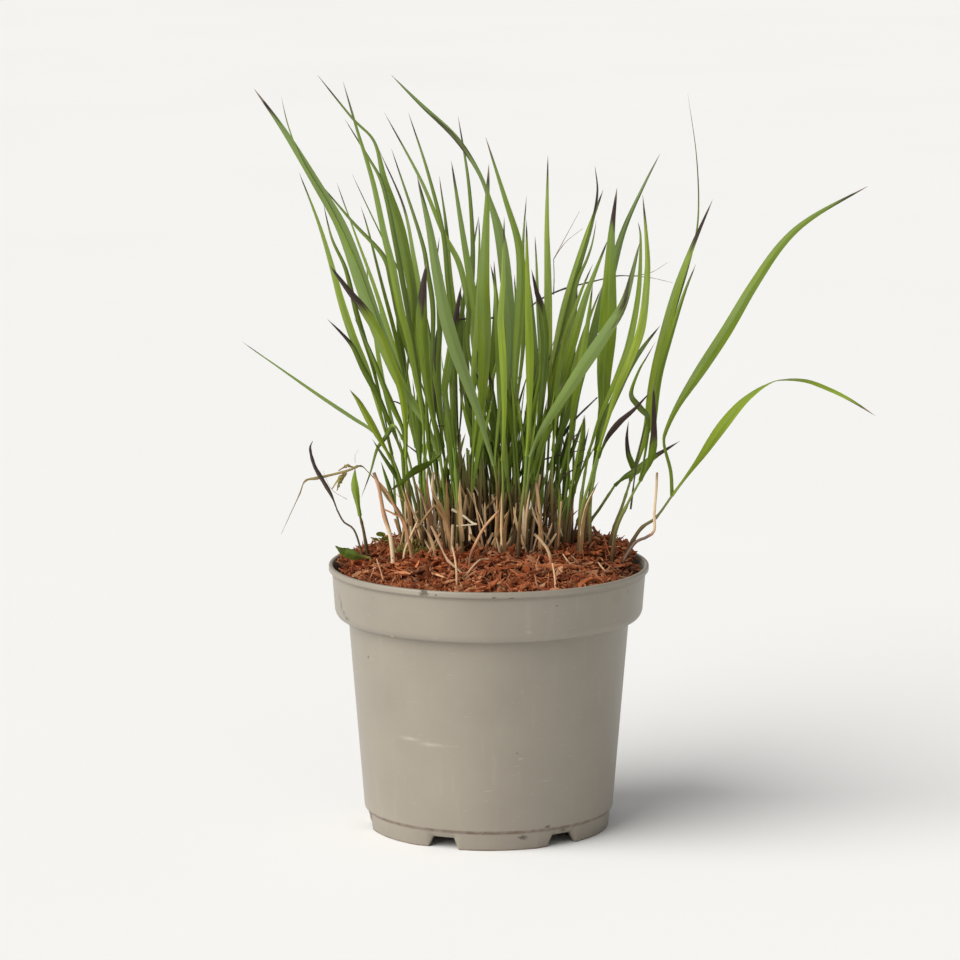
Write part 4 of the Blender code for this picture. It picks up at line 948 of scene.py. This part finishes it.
draw = np.random.default_rng(90)
batches = []
feet = np.vstack((in_clump(draw, YOUNG_SHOOTS), in_clump(draw, HEART_SHOOTS, HEART_MIDDLE, HEART_HALF)))
for number, foot in enumerate(feet):
    side = (foot[0] - CLUMP_MIDDLE[0]) / CLUMP_HALF[0]
    height = draw.uniform(40 if number < YOUNG_SHOOTS else 85, 132) * (1 - 0.4 * side ** 2)
    lean = 0.16 * side + draw.normal(0, 0.12)
    rise = np.array((0, 0.2, 0.42, 0.64, 0.83, 1)) * height
    line = beside(foot[0] + lean * rise + draw.normal(0, 4) * (rise / height) ** 3,
                  foot[1] + draw.normal(0, 0.06) * rise, mulch_height(*foot) - 3 + rise + 3 * (rise > 0))
    stalk = smooth_path(line[:3], 3.0, 0)
    batches.append(stem(draw, stalk, YOUNG_FOOT_R, YOUNG_TOP_R))
    for splayed in range(draw.integers(1, 3)):
        splay = np.array((draw.normal(0, 5) + 3 * splayed, draw.normal(0, 3)))
        places = seen_at(line[3:]) + splay * np.array((0.3, 0.7, 1))[:, None]
        batches.append(blade(draw, blade_start(stalk), line[-1][1] + draw.normal(0, 6),
                             YOUNG_TINTS[draw.integers(0, 6)], draw.uniform(2.0, 4.4), draw.uniform(-60, 60),
                             places, twist=YOUNG_TWIST))
young = make("young_shoots", batches, [leaf, stem_skin])
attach(young, "root")

# Dead stems and straws: last year's hollow stalks, snapped off or lying over, grey-tan, split at the ends.
# Each row gives the foot, the places that it passes, its radius at the foot, and its tone low and high.
STRAWS = (
    ((-56, -10), "-58 172, -62 186, -65 203, -68 212", 1.7, (0.85, 0.4)),
    ((-51, -2), "-50 164, -47 172, -42 183", 1, (0.75, 0.8)),
    ((-20, 8), "-24 180, -28 191, -33 201, -33 212", 1.8, (0.5, 0.8)),
    ((-12, -30), "-11 161, -7 171, -2 180, 6 189", 1.2, (0.15, 0.45)),
    ((-19, -60), "-19 150, -20 160, -22 169", 0.9, (0.5, 0.6)),
    ((31, 4), "31 175, 30 190, 28 206", 2.2, (0.65, 0.55)),
    ((38, -20), "36 163, 31 171, 27 175", 1.3, (0.3, 0.75)),
    ((76, 4), "86 169, 93 173, 98 177, 98 187, 99 200, 99.5 212", 1.2, (-0.35, 0.8)),
)
SHEATHED_R = 1.75  # a stalk wider than this at its foot still wears its sheaths


def straw_finish():
    """Dry stalk: look gives its tone, greyness and darkness, which at the stubs' feet is painted shade. Long
    brown fibres, silvery where weathered.
    """
    skin = Finish("dry_straw")
    share, grey, shade, end = looks_of(skin)
    fibres = fibre_streaks(skin, 3.5, 0.05)
    tone = skin.coated(
        skin.ramp(skin.swayed(share, fibres, 0.9), (0.0, 92, 54, 34), (0.35, 182, 124, 84),
                  (0.65, 222, 182, 134), (1.0, 244, 222, 182)),
        ((190, 178, 154), grey), ((66, 44, 24), skin.band(fibres, 0.38, 0.26, 0, 0.7)),
        # shade: the dark twigs' own darkness, and painted shade at the stubs' feet
        ((44, 46, 34), shade), ((70, 48, 28), end, 0.6),
    )
    return skin.done(tone, skin.plus(0.5, fibres, 0.3), [(fibres, 0.6, 0.0003)])


straw = straw_finish()
for number, (foot, seen, foot_r, tones) in enumerate(STRAWS, 1):
    name = f"straw_{number:02d}"
    draw = np.random.default_rng(500 + number)
    line = stem_line(name, foot, foot_r, places_in(seen))
    share = shares(line)
    look = beside(np.interp(share, (0.4, 0.52), tones), draw.uniform(0, 0.2), 0,
                  np.clip((share - 0.93) / 0.05, 0, 1))
    sheathed = foot_r > SHEATHED_R
    core_r = foot_r * (0.55 if sheathed else 0.8)
    joint = 0.05 * np.sin(share * 23) + 0.1 * np.exp(-((share - 0.45) / 0.03) ** 2)
    batches = [rod(line, core_r * (1 - 0.25 * share) * (1 + joint), look, draw.uniform(0, 99), 0)]
    batches += [husk(draw, line, 1) for _ in range(3 * sheathed)]
    _, across, away = directions(line)
    for way in (0.5, -0.5):
        lean = across[-1] * way + away[-1] * draw.uniform(-0.5, 0.5)
        split = line[-6:] + lean * (core_r * np.linspace(0.7, 1.1, 6))[:, None]
        ends = core_r * np.linspace(0.32, 0.1, 6)
        batches.append(rod(split, ends, look[-6:], draw.uniform(0, 99), 0, 6, 0.5))
    dry_stalk = make(f"dry_stalk_{number:02d}", batches, [straw, husk_paper])
    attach(dry_stalk, "root")
    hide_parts(name)

# Stubs and shreds: the stumps of cut or rotted shoots, brown thatch that stands thick in the clump's heart,
# and papery strips that have come off the stems and lean between them, cream to pinkish brown.
STUBS = 40
THATCH = 90
SHREDS = 90
draw = np.random.default_rng(64)
batches = []
thatch = HEART_MIDDLE - (8, 0), HEART_HALF * (1.7, 1)
feet = np.vstack((in_clump(draw, STUBS), in_clump(draw, THATCH, *thatch)))
for number, foot in enumerate(feet):
    old = number >= STUBS
    height = draw.uniform(26, 66) if old else draw.uniform(8, 26) + 30 * draw.uniform(0, 1) ** 3
    spread = 0.4 if old else 1
    lean = np.array((draw.normal(0.12 * np.sign(foot[0]), 0.2) * spread, draw.normal(0, 0.12) * spread, 1))
    line = (*foot, mulch_height(*foot) - 3) + lean * np.linspace(0, height, 8)[:, None]
    share = shares(line)
    # the third share is painted shade, darkest at the foot inside the clump; the old ones' stem finish
    # doesn't use it
    look = beside(draw.uniform(0.2, 0.75) + 0.2 * share, draw.uniform(0, 0.4), 0.6 * (1 - share) ** 2, old)
    radii = draw.uniform(0.5, 1.1) * (1 - 0.3 * share)
    batches.append(rod(line, radii, look, draw.uniform(0, 99), 2 * old, 8, 0.8))
for foot in in_clump(draw, SHREDS):
    height, ground = draw.uniform(8, 30), mulch_height(*foot) + draw.uniform(-2, 12)
    lean = np.array((draw.normal(0, 0.45), draw.normal(0, 0.2), 1))
    bow = np.array((draw.normal(0, 5), draw.normal(0, 2), 0))
    share = np.linspace(0, 1, 9)
    line = (*foot, ground) + lean * (height * share)[:, None] + bow * (share * (1 - share))[:, None]
    turn = np.radians(draw.uniform(-70, 70) + draw.normal(0, 60) * share)
    half = draw.uniform(0.5, 1.3) * np.sin(np.pi * (0.08 + 0.88 * share)) ** 0.5
    look = (draw.uniform(0, 1), 1, 0, 0)
    keel = half * draw.uniform(0.3, 0.9)
    batches.append(strip(line, *sides(line, turn), half, keel, look, draw.uniform(0, 99), 1, 0.16))
stubs = make("stubs_and_shreds", batches, [straw, husk_paper, stem_skin])
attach(stubs, "root")

# Two dead leaves hang at the left: one dark, curled and shrivelled, the other kinked over, tan, with crumpled
# yellow-green remains where it folds. A leaf's row is its foot, the places up its stalk, and its blade, as
# width, roll in degrees, swell and places. A crumpled piece's row is its places, width and greenness.
CURLED_LEAF = (
    (-73, 8), "-79 176, -86 182.5, -90 190",
    (2.6, 3, (0, 0.3), "-93 198, -98 207, -103 216, -105.5 226, -104 231"),
)
KINKED_LEAF = (
    (-45, 14), "-51 184, -60 197, -66 207",
    (1.8, 13, SWELL, "-71 212, -76 216, -84 213, -100 209, -108.5 207, -112 199, -118 186, -123 175"),
)
CRUMPLES = (("-82 214, -86 211, -90 206, -93 202", 3.2, 0.5), ("-79 215, -84 216, -89 213", 2.6, 0.2),
            ("-84 212, -88 206, -90 201", 2.4, 0.8))


def dead_leaf_finish():
    """Dead leaf: dark grey-brown to tan by its look, finely wrinkled, with what green is left in patches."""
    skin = Finish("dead_leaf")
    tan, green = looks_of(skin)[:2]
    veins = fibre_streaks(skin, 4.0, 0.1)
    tone = skin.coated(
        skin.ramp(skin.swayed(tan, veins, 0.5), (0.0, 50, 38, 40), (0.4, 98, 80, 60),
                  (0.7, 158, 128, 84), (1.0, 196, 172, 124)),
        ((142, 146, 66), green), ((46, 36, 26), skin.band(veins, 0.42, 0.3, 0, 0.6)),
    )
    return skin.done(tone, skin.plus(0.55, veins, 0.25), [(veins, 0.7, 0.0005)])


def limp_leaf(draw, node, form, foot_r, radii, look, seed, looks, wrinkle):
    """The line of a stalk, its tube, and that of its limp blade: a strip whose edges waver and which rolls to
    and fro along it. Looks holds the rows of values that the blade's look runs through."""
    foot, stalk, (width, roll, swell, seen) = form
    line, places = stem_line(node, foot, foot_r, places_in(stalk)), places_in(seen)
    top, tip_depth = blade_start(line), tip_depth_of(node, places[-1])
    flat = smooth_path(np.vstack((seen_at(top[None]), places)), 2.0)
    share = shares(flat)
    path = behind(flat, top[1] + (tip_depth - top[1]) * share ** DEPTH_BEND)
    turn = np.radians(roll + TWIST * share + 50 * wrinkle * np.sin(share * 19))
    waver = 1 + wrinkle * np.sin(share * 37 + 1) + wrinkle * np.sin(share * 61)
    half = np.maximum(width / 2 * blade_width(share, *swell) * waver, 0.12)
    along_blade = beside(*(np.interp(share, shares(row), row) for row in looks))
    limp = strip(path, *sides(path, turn), half, half * 0.6, along_blade, draw.uniform(0, 99), 0, 0.3)
    return line, [rod(line, np.linspace(*radii, len(line)), look, seed, 0), limp]


draw = np.random.default_rng(77)
dead = dead_leaf_finish()
_, batches = limp_leaf(draw, "dead_leaf_01", CURLED_LEAF, 1.0, (0.7, 0.5), (0.4, 0.1, 0, 0), 3,
                       ((0.12, 0.06, 0.02), (0.05, 0, 0), (0,), (0,)), 0.05)
curled = make("curled_leaf", batches, [dead])
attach(curled, "root")
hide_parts("dead_leaf_01")
line, batches = limp_leaf(draw, "dead_leaf_02", KINKED_LEAF, 1.0, (1, 0.8), (0.55, 0.3, 0, 0), 3,
                          ((0.5, 0.7, 0.8, 0.6), (0.3, 0.5, 0.05, 0), (0,), (0,)), 0.12)
for seen, width, green in CRUMPLES:
    flat = smooth_path(places_in(seen), 1.0)
    path = behind(flat, line[-1][1] - np.linspace(1, 3, len(flat)))
    share = shares(path)
    half = width / 2 * np.sin(np.pi * (0.12 + 0.84 * share)) + 0.1
    turn = 1.2 * np.sin(share * 9 + width * 5)
    batches.append(strip(path, *sides(path, turn), half, half * 0.7, (0.75, green, 0, 0), width, 0, 0.25))
kinked = make("kinked_leaf", batches, [dead])
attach(kinked, "root")
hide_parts("dead_leaf_02")

# Small weeds in the mulch at the left: a seedling leaf lying toward the rim, round leaves on threads, each
# given by its seen place and radius, and a cushion of moss by the clump's foot, its sprigs heaped to a dome.
WEED = ((-68, -6), "-70 160, -73 161", (6, -12, SWELL, "-77 161.5, -82 163, -87 165, -91 168"))
ROUND_LEAVES = ((-64, 175, 2.6), (-61.5, 172.5, 2.0), (-67, 172, 1.6), (-39, 185, 1.9), (-42, 182, 1.4))
ROUND_LIE = np.array((1, -0.4, 0.25))
ROUND_BACK = (-0.2, -0.6, -0.75)
MOSS_MIDDLE = (-43, 15)
MOSS_HALF = (14, 9)
MOSS_HEIGHT = 8
MOSS_SPRIGS = 620


def on_mulch(places, proud=0.6):
    """The points of the mulch's top that are seen at the places: each line of sight is stepped back to it."""
    depths = np.linspace(-84, 84, 337)
    points = np.array([behind(place, depths) for place in places])
    under = points[..., 2] < mulch_height(points[..., 0], points[..., 1]) + proud
    return points[np.arange(len(points)), np.where(under.any(axis=1), under.argmax(axis=1), len(depths) - 1)]


def weed_finish():
    """Soft weed leaf: fresh yellow-green, paler veins, matt."""
    skin = Finish("weed_leaf_green")
    hue, _, _, dry = looks_of(skin)
    veins = fibre_streaks(skin, 3.0, 0.3)
    share = skin.swayed(hue, veins, 0.5)
    tone = skin.coated(
        skin.ramp(share, (0.0, 62, 84, 26), (0.5, 112, 140, 44), (1.0, 172, 188, 84)),
        ((140, 96, 50), dry),
    )
    return skin.done(tone, skin.plus(0.45, veins, 0.2), [(veins, 0.4, 0.0003)])


draw = np.random.default_rng(12)
weed_green = weed_finish()
_, batches = limp_leaf(draw, "weed_leaf", WEED, 0.9, (0.9, 0.8), (0.4, 0, 0, 0.5), 1,
                       ((0.12, 0.25, 0.2), (0,), (0,), (0.3, 0, 0.1)), 0.04)
seedling = make("weed_seedling", batches, [weed_green])
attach(seedling, "root")
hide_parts("weed_leaf")
batches = []
spread = np.linspace(-1, 1, 9)
back = np.tile(ROUND_BACK, (len(spread), 1))
for x, z, radius in ROUND_LEAVES:
    foot = on_mulch([(x + 2, min(z - 5, 168))])[0]
    tip = behind((x, z), foot[1] - 2)[0]
    stalk = smooth_path((foot - (0, 0, 2), (foot + tip) / 2 + (1, 0, 1), tip), 1.5)
    batches.append(rod(stalk, 0.35, (0.4, 0, 0, 0.2), radius, 0, 6))
    batches.append(strip(tip + ROUND_LIE * (spread * radius)[:, None], np.cross(back, ROUND_LIE), back,
                         radius * np.sqrt(1 - 0.97 * spread ** 2), 0.25 * radius * (1 - spread ** 2) + 0.1,
                         (0.85, 0, 0, 0.05), radius, 0, 0.3))
x, y = on_disc(draw, MOSS_SPRIGS, 1)
heap = MOSS_HEIGHT * (1 - x ** 2 - y ** 2) * draw.uniform(0, 1, MOSS_SPRIGS) ** 0.5
x, y = (MOSS_MIDDLE + beside(x, y) * MOSS_HALF).T
sprigs = splinters(draw, draw.uniform(2, 5, MOSS_SPRIGS), 1.2, 0.9, 4, 5)
turns = (draw.uniform(*reach, MOSS_SPRIGS) for reach in ((0, 6), (-1.5, -0.6), (0, 6)))
placed = tumbled(sprigs, *turns, beside(x, y, mulch_height(x, y) + heap))
hue, dry = (draw.uniform(*reach, (MOSS_SPRIGS, 1, 1)) for reach in ((0, 0.4), (0.3, 0.7)))
batches.append((placed, beside(hue, 0, 0, dry), 0, 0))
small_weeds = make("small_weeds", batches, [weed_green], 60)
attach(small_weeds, "root")

# Loose litter: dry straws and shreds that lie on the mulch or lean into the clump, broken twigs among the
# leaves, and the dark flowering stalk of a weed that grew up behind them, ending in long hairs.
LITTER_LEAN = 8
PLANK = "26 155, 41 155.5, 56 155"
# A row is tone, greyness and darkness, the radii at both ends, the depths there, and its places. One without
# depths starts on the mulch and leans back from there.
LITTER = (
    ((0.45, 0.1, 0), (0.6, 0.4), None, "-36 163, -32 170, -27 178"),
    ((0.4, 0.2, 0), (0.65, 0.4), None, "-20 155, -25 160, -30 172, -34 180"),
    ((0.7, 0.8, 0), (0.8, 0.5), (2, -6), "-22 190, -15 186, -10 182, -7 181"),
    ((0.7, 0.8, 0), (0.5, 0.4), (2, -6), "-19 180, -13 180.5, -7 181"),
    ((0.6, 0.7, 0), (0.9, 0.5), None, "-9 169, -15 173, -19 179"),
    ((0.55, 0.3, 0), (0.5, 0.5), None, "-14 150, -6 159, 0 160"),
    ((0.5, 0.4, 0), (0.5, 0.5), None, "-48 162, -40 159, -28 155"),
    ((0.6, 0.7, 0), (0.5, 0.4), None, "20 166, 22 172, 24 178"),
    ((0.5, 0.1, 0), (0.5, 0.4), None, "72 150, 68 154, 65 158"),
    ((0.4, 0.1, 0), (0.45, 0.35), None, "-62.5 146.4, -64 152.4, -66.6 160.3"),
    ((0.5, 0.4, 0), (0.5, 0.3), None, "-15.9 151.4, -17.9 153.4, -24.6 160.3, -29.5 169.2, -34.4 180"),
    ((0.6, 0.1, 0), (0.5, 0.4), None, "39.7 142, 39 150, 37.7 157.6"),
    ((0.5, 0.1, 0), (0.5, 0.4), None, "80 156, 73 156.5, 66 155.5"),
    ((0.5, 0.2, 0), (0.5, 0.4), None, "50 155, 46 160, 44 163"),
    ((0.42, 0, 0.05), (0.9, 0.7), (-6, -8), "-45 160, -50 180, -55 190, -60 200, -66 207"),
    ((0.42, 0, 0), (0.7, 0.5), (-8, -10), "-46 162, -50 182, -56 187, -62 190"),
    ((0.3, 0.3, 0.3), (0.8, 0.5), (10, 6), "-34 165, -37 190, -43 205"),
    ((0.2, 0.2, 0.5), (0.8, 0.5), (12, 10), "-20 165, -19 195, -17 215, -17 235"),
    ((0.2, 0, 0.9), (0.6, 0.3), (12, 10), "84 190, 87 215, 91 235, 94 245"),
    ((0.2, 0, 0.9), (0.5, 0.3), (20, 14), "33 220, 44 223, 57 226"),
    ((0.2, 0, 0.9), (0.5, 0.3), (14, 10), "43 209, 50 214, 56 219"),
    ((0.1, 0.2, 0.75), (0.4, 0.2), (14, 10), "46 229, 51 234, 57 239"),
    ((0.1, 0.2, 0.75), (0.4, 0.2), (14, 10), "46 235, 51 232, 57 227"),
    ((0.2, 0, 1), (1, 0.4), (20, 16), "44 234, 50 243, 64 257"),
    ((0.1, 0.1, 0.75), (0.5, 0.3), (24, 20), "-50 252, -54 254, -58 255"),
    ((0.1, 0.1, 0.75), (0.5, 0.3), (16, 12), "-40 222, -45 226, -49 229"),
    ((0.1, 0.1, 0.75), (0.5, 0.3), (16, 12), "-22 241, -26 240, -30 240"),
    ((0.7, 0.5, 0), (0.16, 0.08), (20, 10), "-84 196, -93 202, -98 213"),
    ((0.7, 0.5, 0), (0.16, 0.08), (20, 16), "-79 218, -79 222, -77 226"),
    ((0.2, 0, 0.9), (0.8, 0.55), (50, 70), "-30 160, -31 200, -32 260, -30 297, -20 303, 0 304, 18 307, "
     "30 315, 38 319"),
    ((0.2, 0, 0.9), (0.55, 0.3), (70, 76), "38 319, 46 322, 62 326, 75 329, 84 329"),
    ((0.2, 0, 0.85), (0.35, 0.2), (70, 70), "38 318, 38.3 328, 38 339"),
    ((0.4, 0.5, 0.4), (0.25, 0.1), (70, 70), "38 339, 46 354, 53 367"),
    ((0.4, 0.5, 0.4), (0.25, 0.1), (70, 68), "38 339, 45 349, 55 357"),
    ((0.4, 0.5, 0.4), (0.25, 0.1), (76, 76), "84 329, 95 331, 105 337"),
    ((0.4, 0.5, 0.4), (0.25, 0.1), (76, 76), "84 329, 95 328, 108 325"),
)

batches = []
for number, (tones, radii, depths, seen) in enumerate(LITTER):
    places = places_in(seen)
    if depths is None:
        start = on_mulch(places[:1])[0][1]
        depths = (start, start + LITTER_LEAN)
    flat = smooth_path(places, 3.0)
    path = behind(flat, np.linspace(*depths, len(flat)))
    share = shares(path)
    uneven = 1 + 0.12 * np.sin(share * 21 + number) + 0.08 * np.sin(share * 47)
    batches.append(rod(path, np.interp(share, (0, 1), radii) * uneven, (*tones, 0), 3.7 * number, 0, 8, 0.7))
litter = make("loose_straws", batches, [straw])
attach(litter, "root")
path = on_mulch(smooth_path(places_in(PLANK), 2.0), 1.2)
share = np.linspace(-1, 1, len(path))
radii = 1.6 * (1 - 0.6 * np.abs(share) ** 5) * (1 + 0.08 * np.sin(share * 14))
plank = make("bark_plank", [rod(path, radii, (0.8, 0.1, 0, 0), 5, 0, 8, 0.5)], [bark], 35)
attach(plank, "root")

# The photograph's surroundings: a pale seamless floor, a broad soft light from the upper left, and a long
# lens on the photographed side, a little above the clump.
FLOOR_SIZE = 60.0
LENS = 172.5
PITCH = math.radians(9.53)
KEY_FROM = (-0.68, -0.45, 0.58)
KEY_STRENGTH = 3.5
KEY_SPREAD = math.radians(65)
SKY = 0.34


def floor_finish():
    """Pale, matt floor with the faintest clouding."""
    skin = Finish("pale_floor")
    tone = skin.ramp(skin.noise(1.5), (0.0, 246, 246, 245), (1.0, 251, 251, 250))
    return skin.done(tone, 0.9, [], {"Specular IOR Level": 0.2})


scene = bpy.context.scene
scene.view_settings.view_transform = "Standard"
floor_mesh = bpy.data.meshes.new("studio_floor")
edge = FLOOR_SIZE / 2
floor_mesh.from_pydata([(-edge, -edge, 0), (edge, -edge, 0), (edge, edge, 0), (-edge, edge, 0)], [],
                       [(0, 1, 2, 3)])
floor_mesh.materials.append(floor_finish())
floor = bpy.data.objects.new("studio_floor", floor_mesh)
scene.collection.objects.link(floor)
world = bpy.data.worlds.new("studio")
world.use_nodes = True
sky = world.node_tree.nodes["Background"].inputs
sky["Color"].default_value = (1.0, 1.0, 1.0, 1)
sky["Strength"].default_value = SKY
scene.world = world
key = bpy.data.objects.new("key_light", bpy.data.lights.new("key_light", "SUN"))
key.data.energy = KEY_STRENGTH
key.data.angle = KEY_SPREAD
key.data.color = (1.0, 0.985, 0.96)
key.rotation_mode = "QUATERNION"
key.rotation_quaternion = Vector(KEY_FROM).to_track_quat("Z", "Y")
scene.collection.objects.link(key)
camera = bpy.data.objects.new("camera", bpy.data.cameras.new("camera"))
camera.data.lens = LENS
camera.data.sensor_width = 36
camera.location = (EYE + POT_AXIS) * MM
camera.rotation_euler = (math.pi / 2 - PITCH, 0, 0)
scene.collection.objects.link(camera)
scene.camera = camera
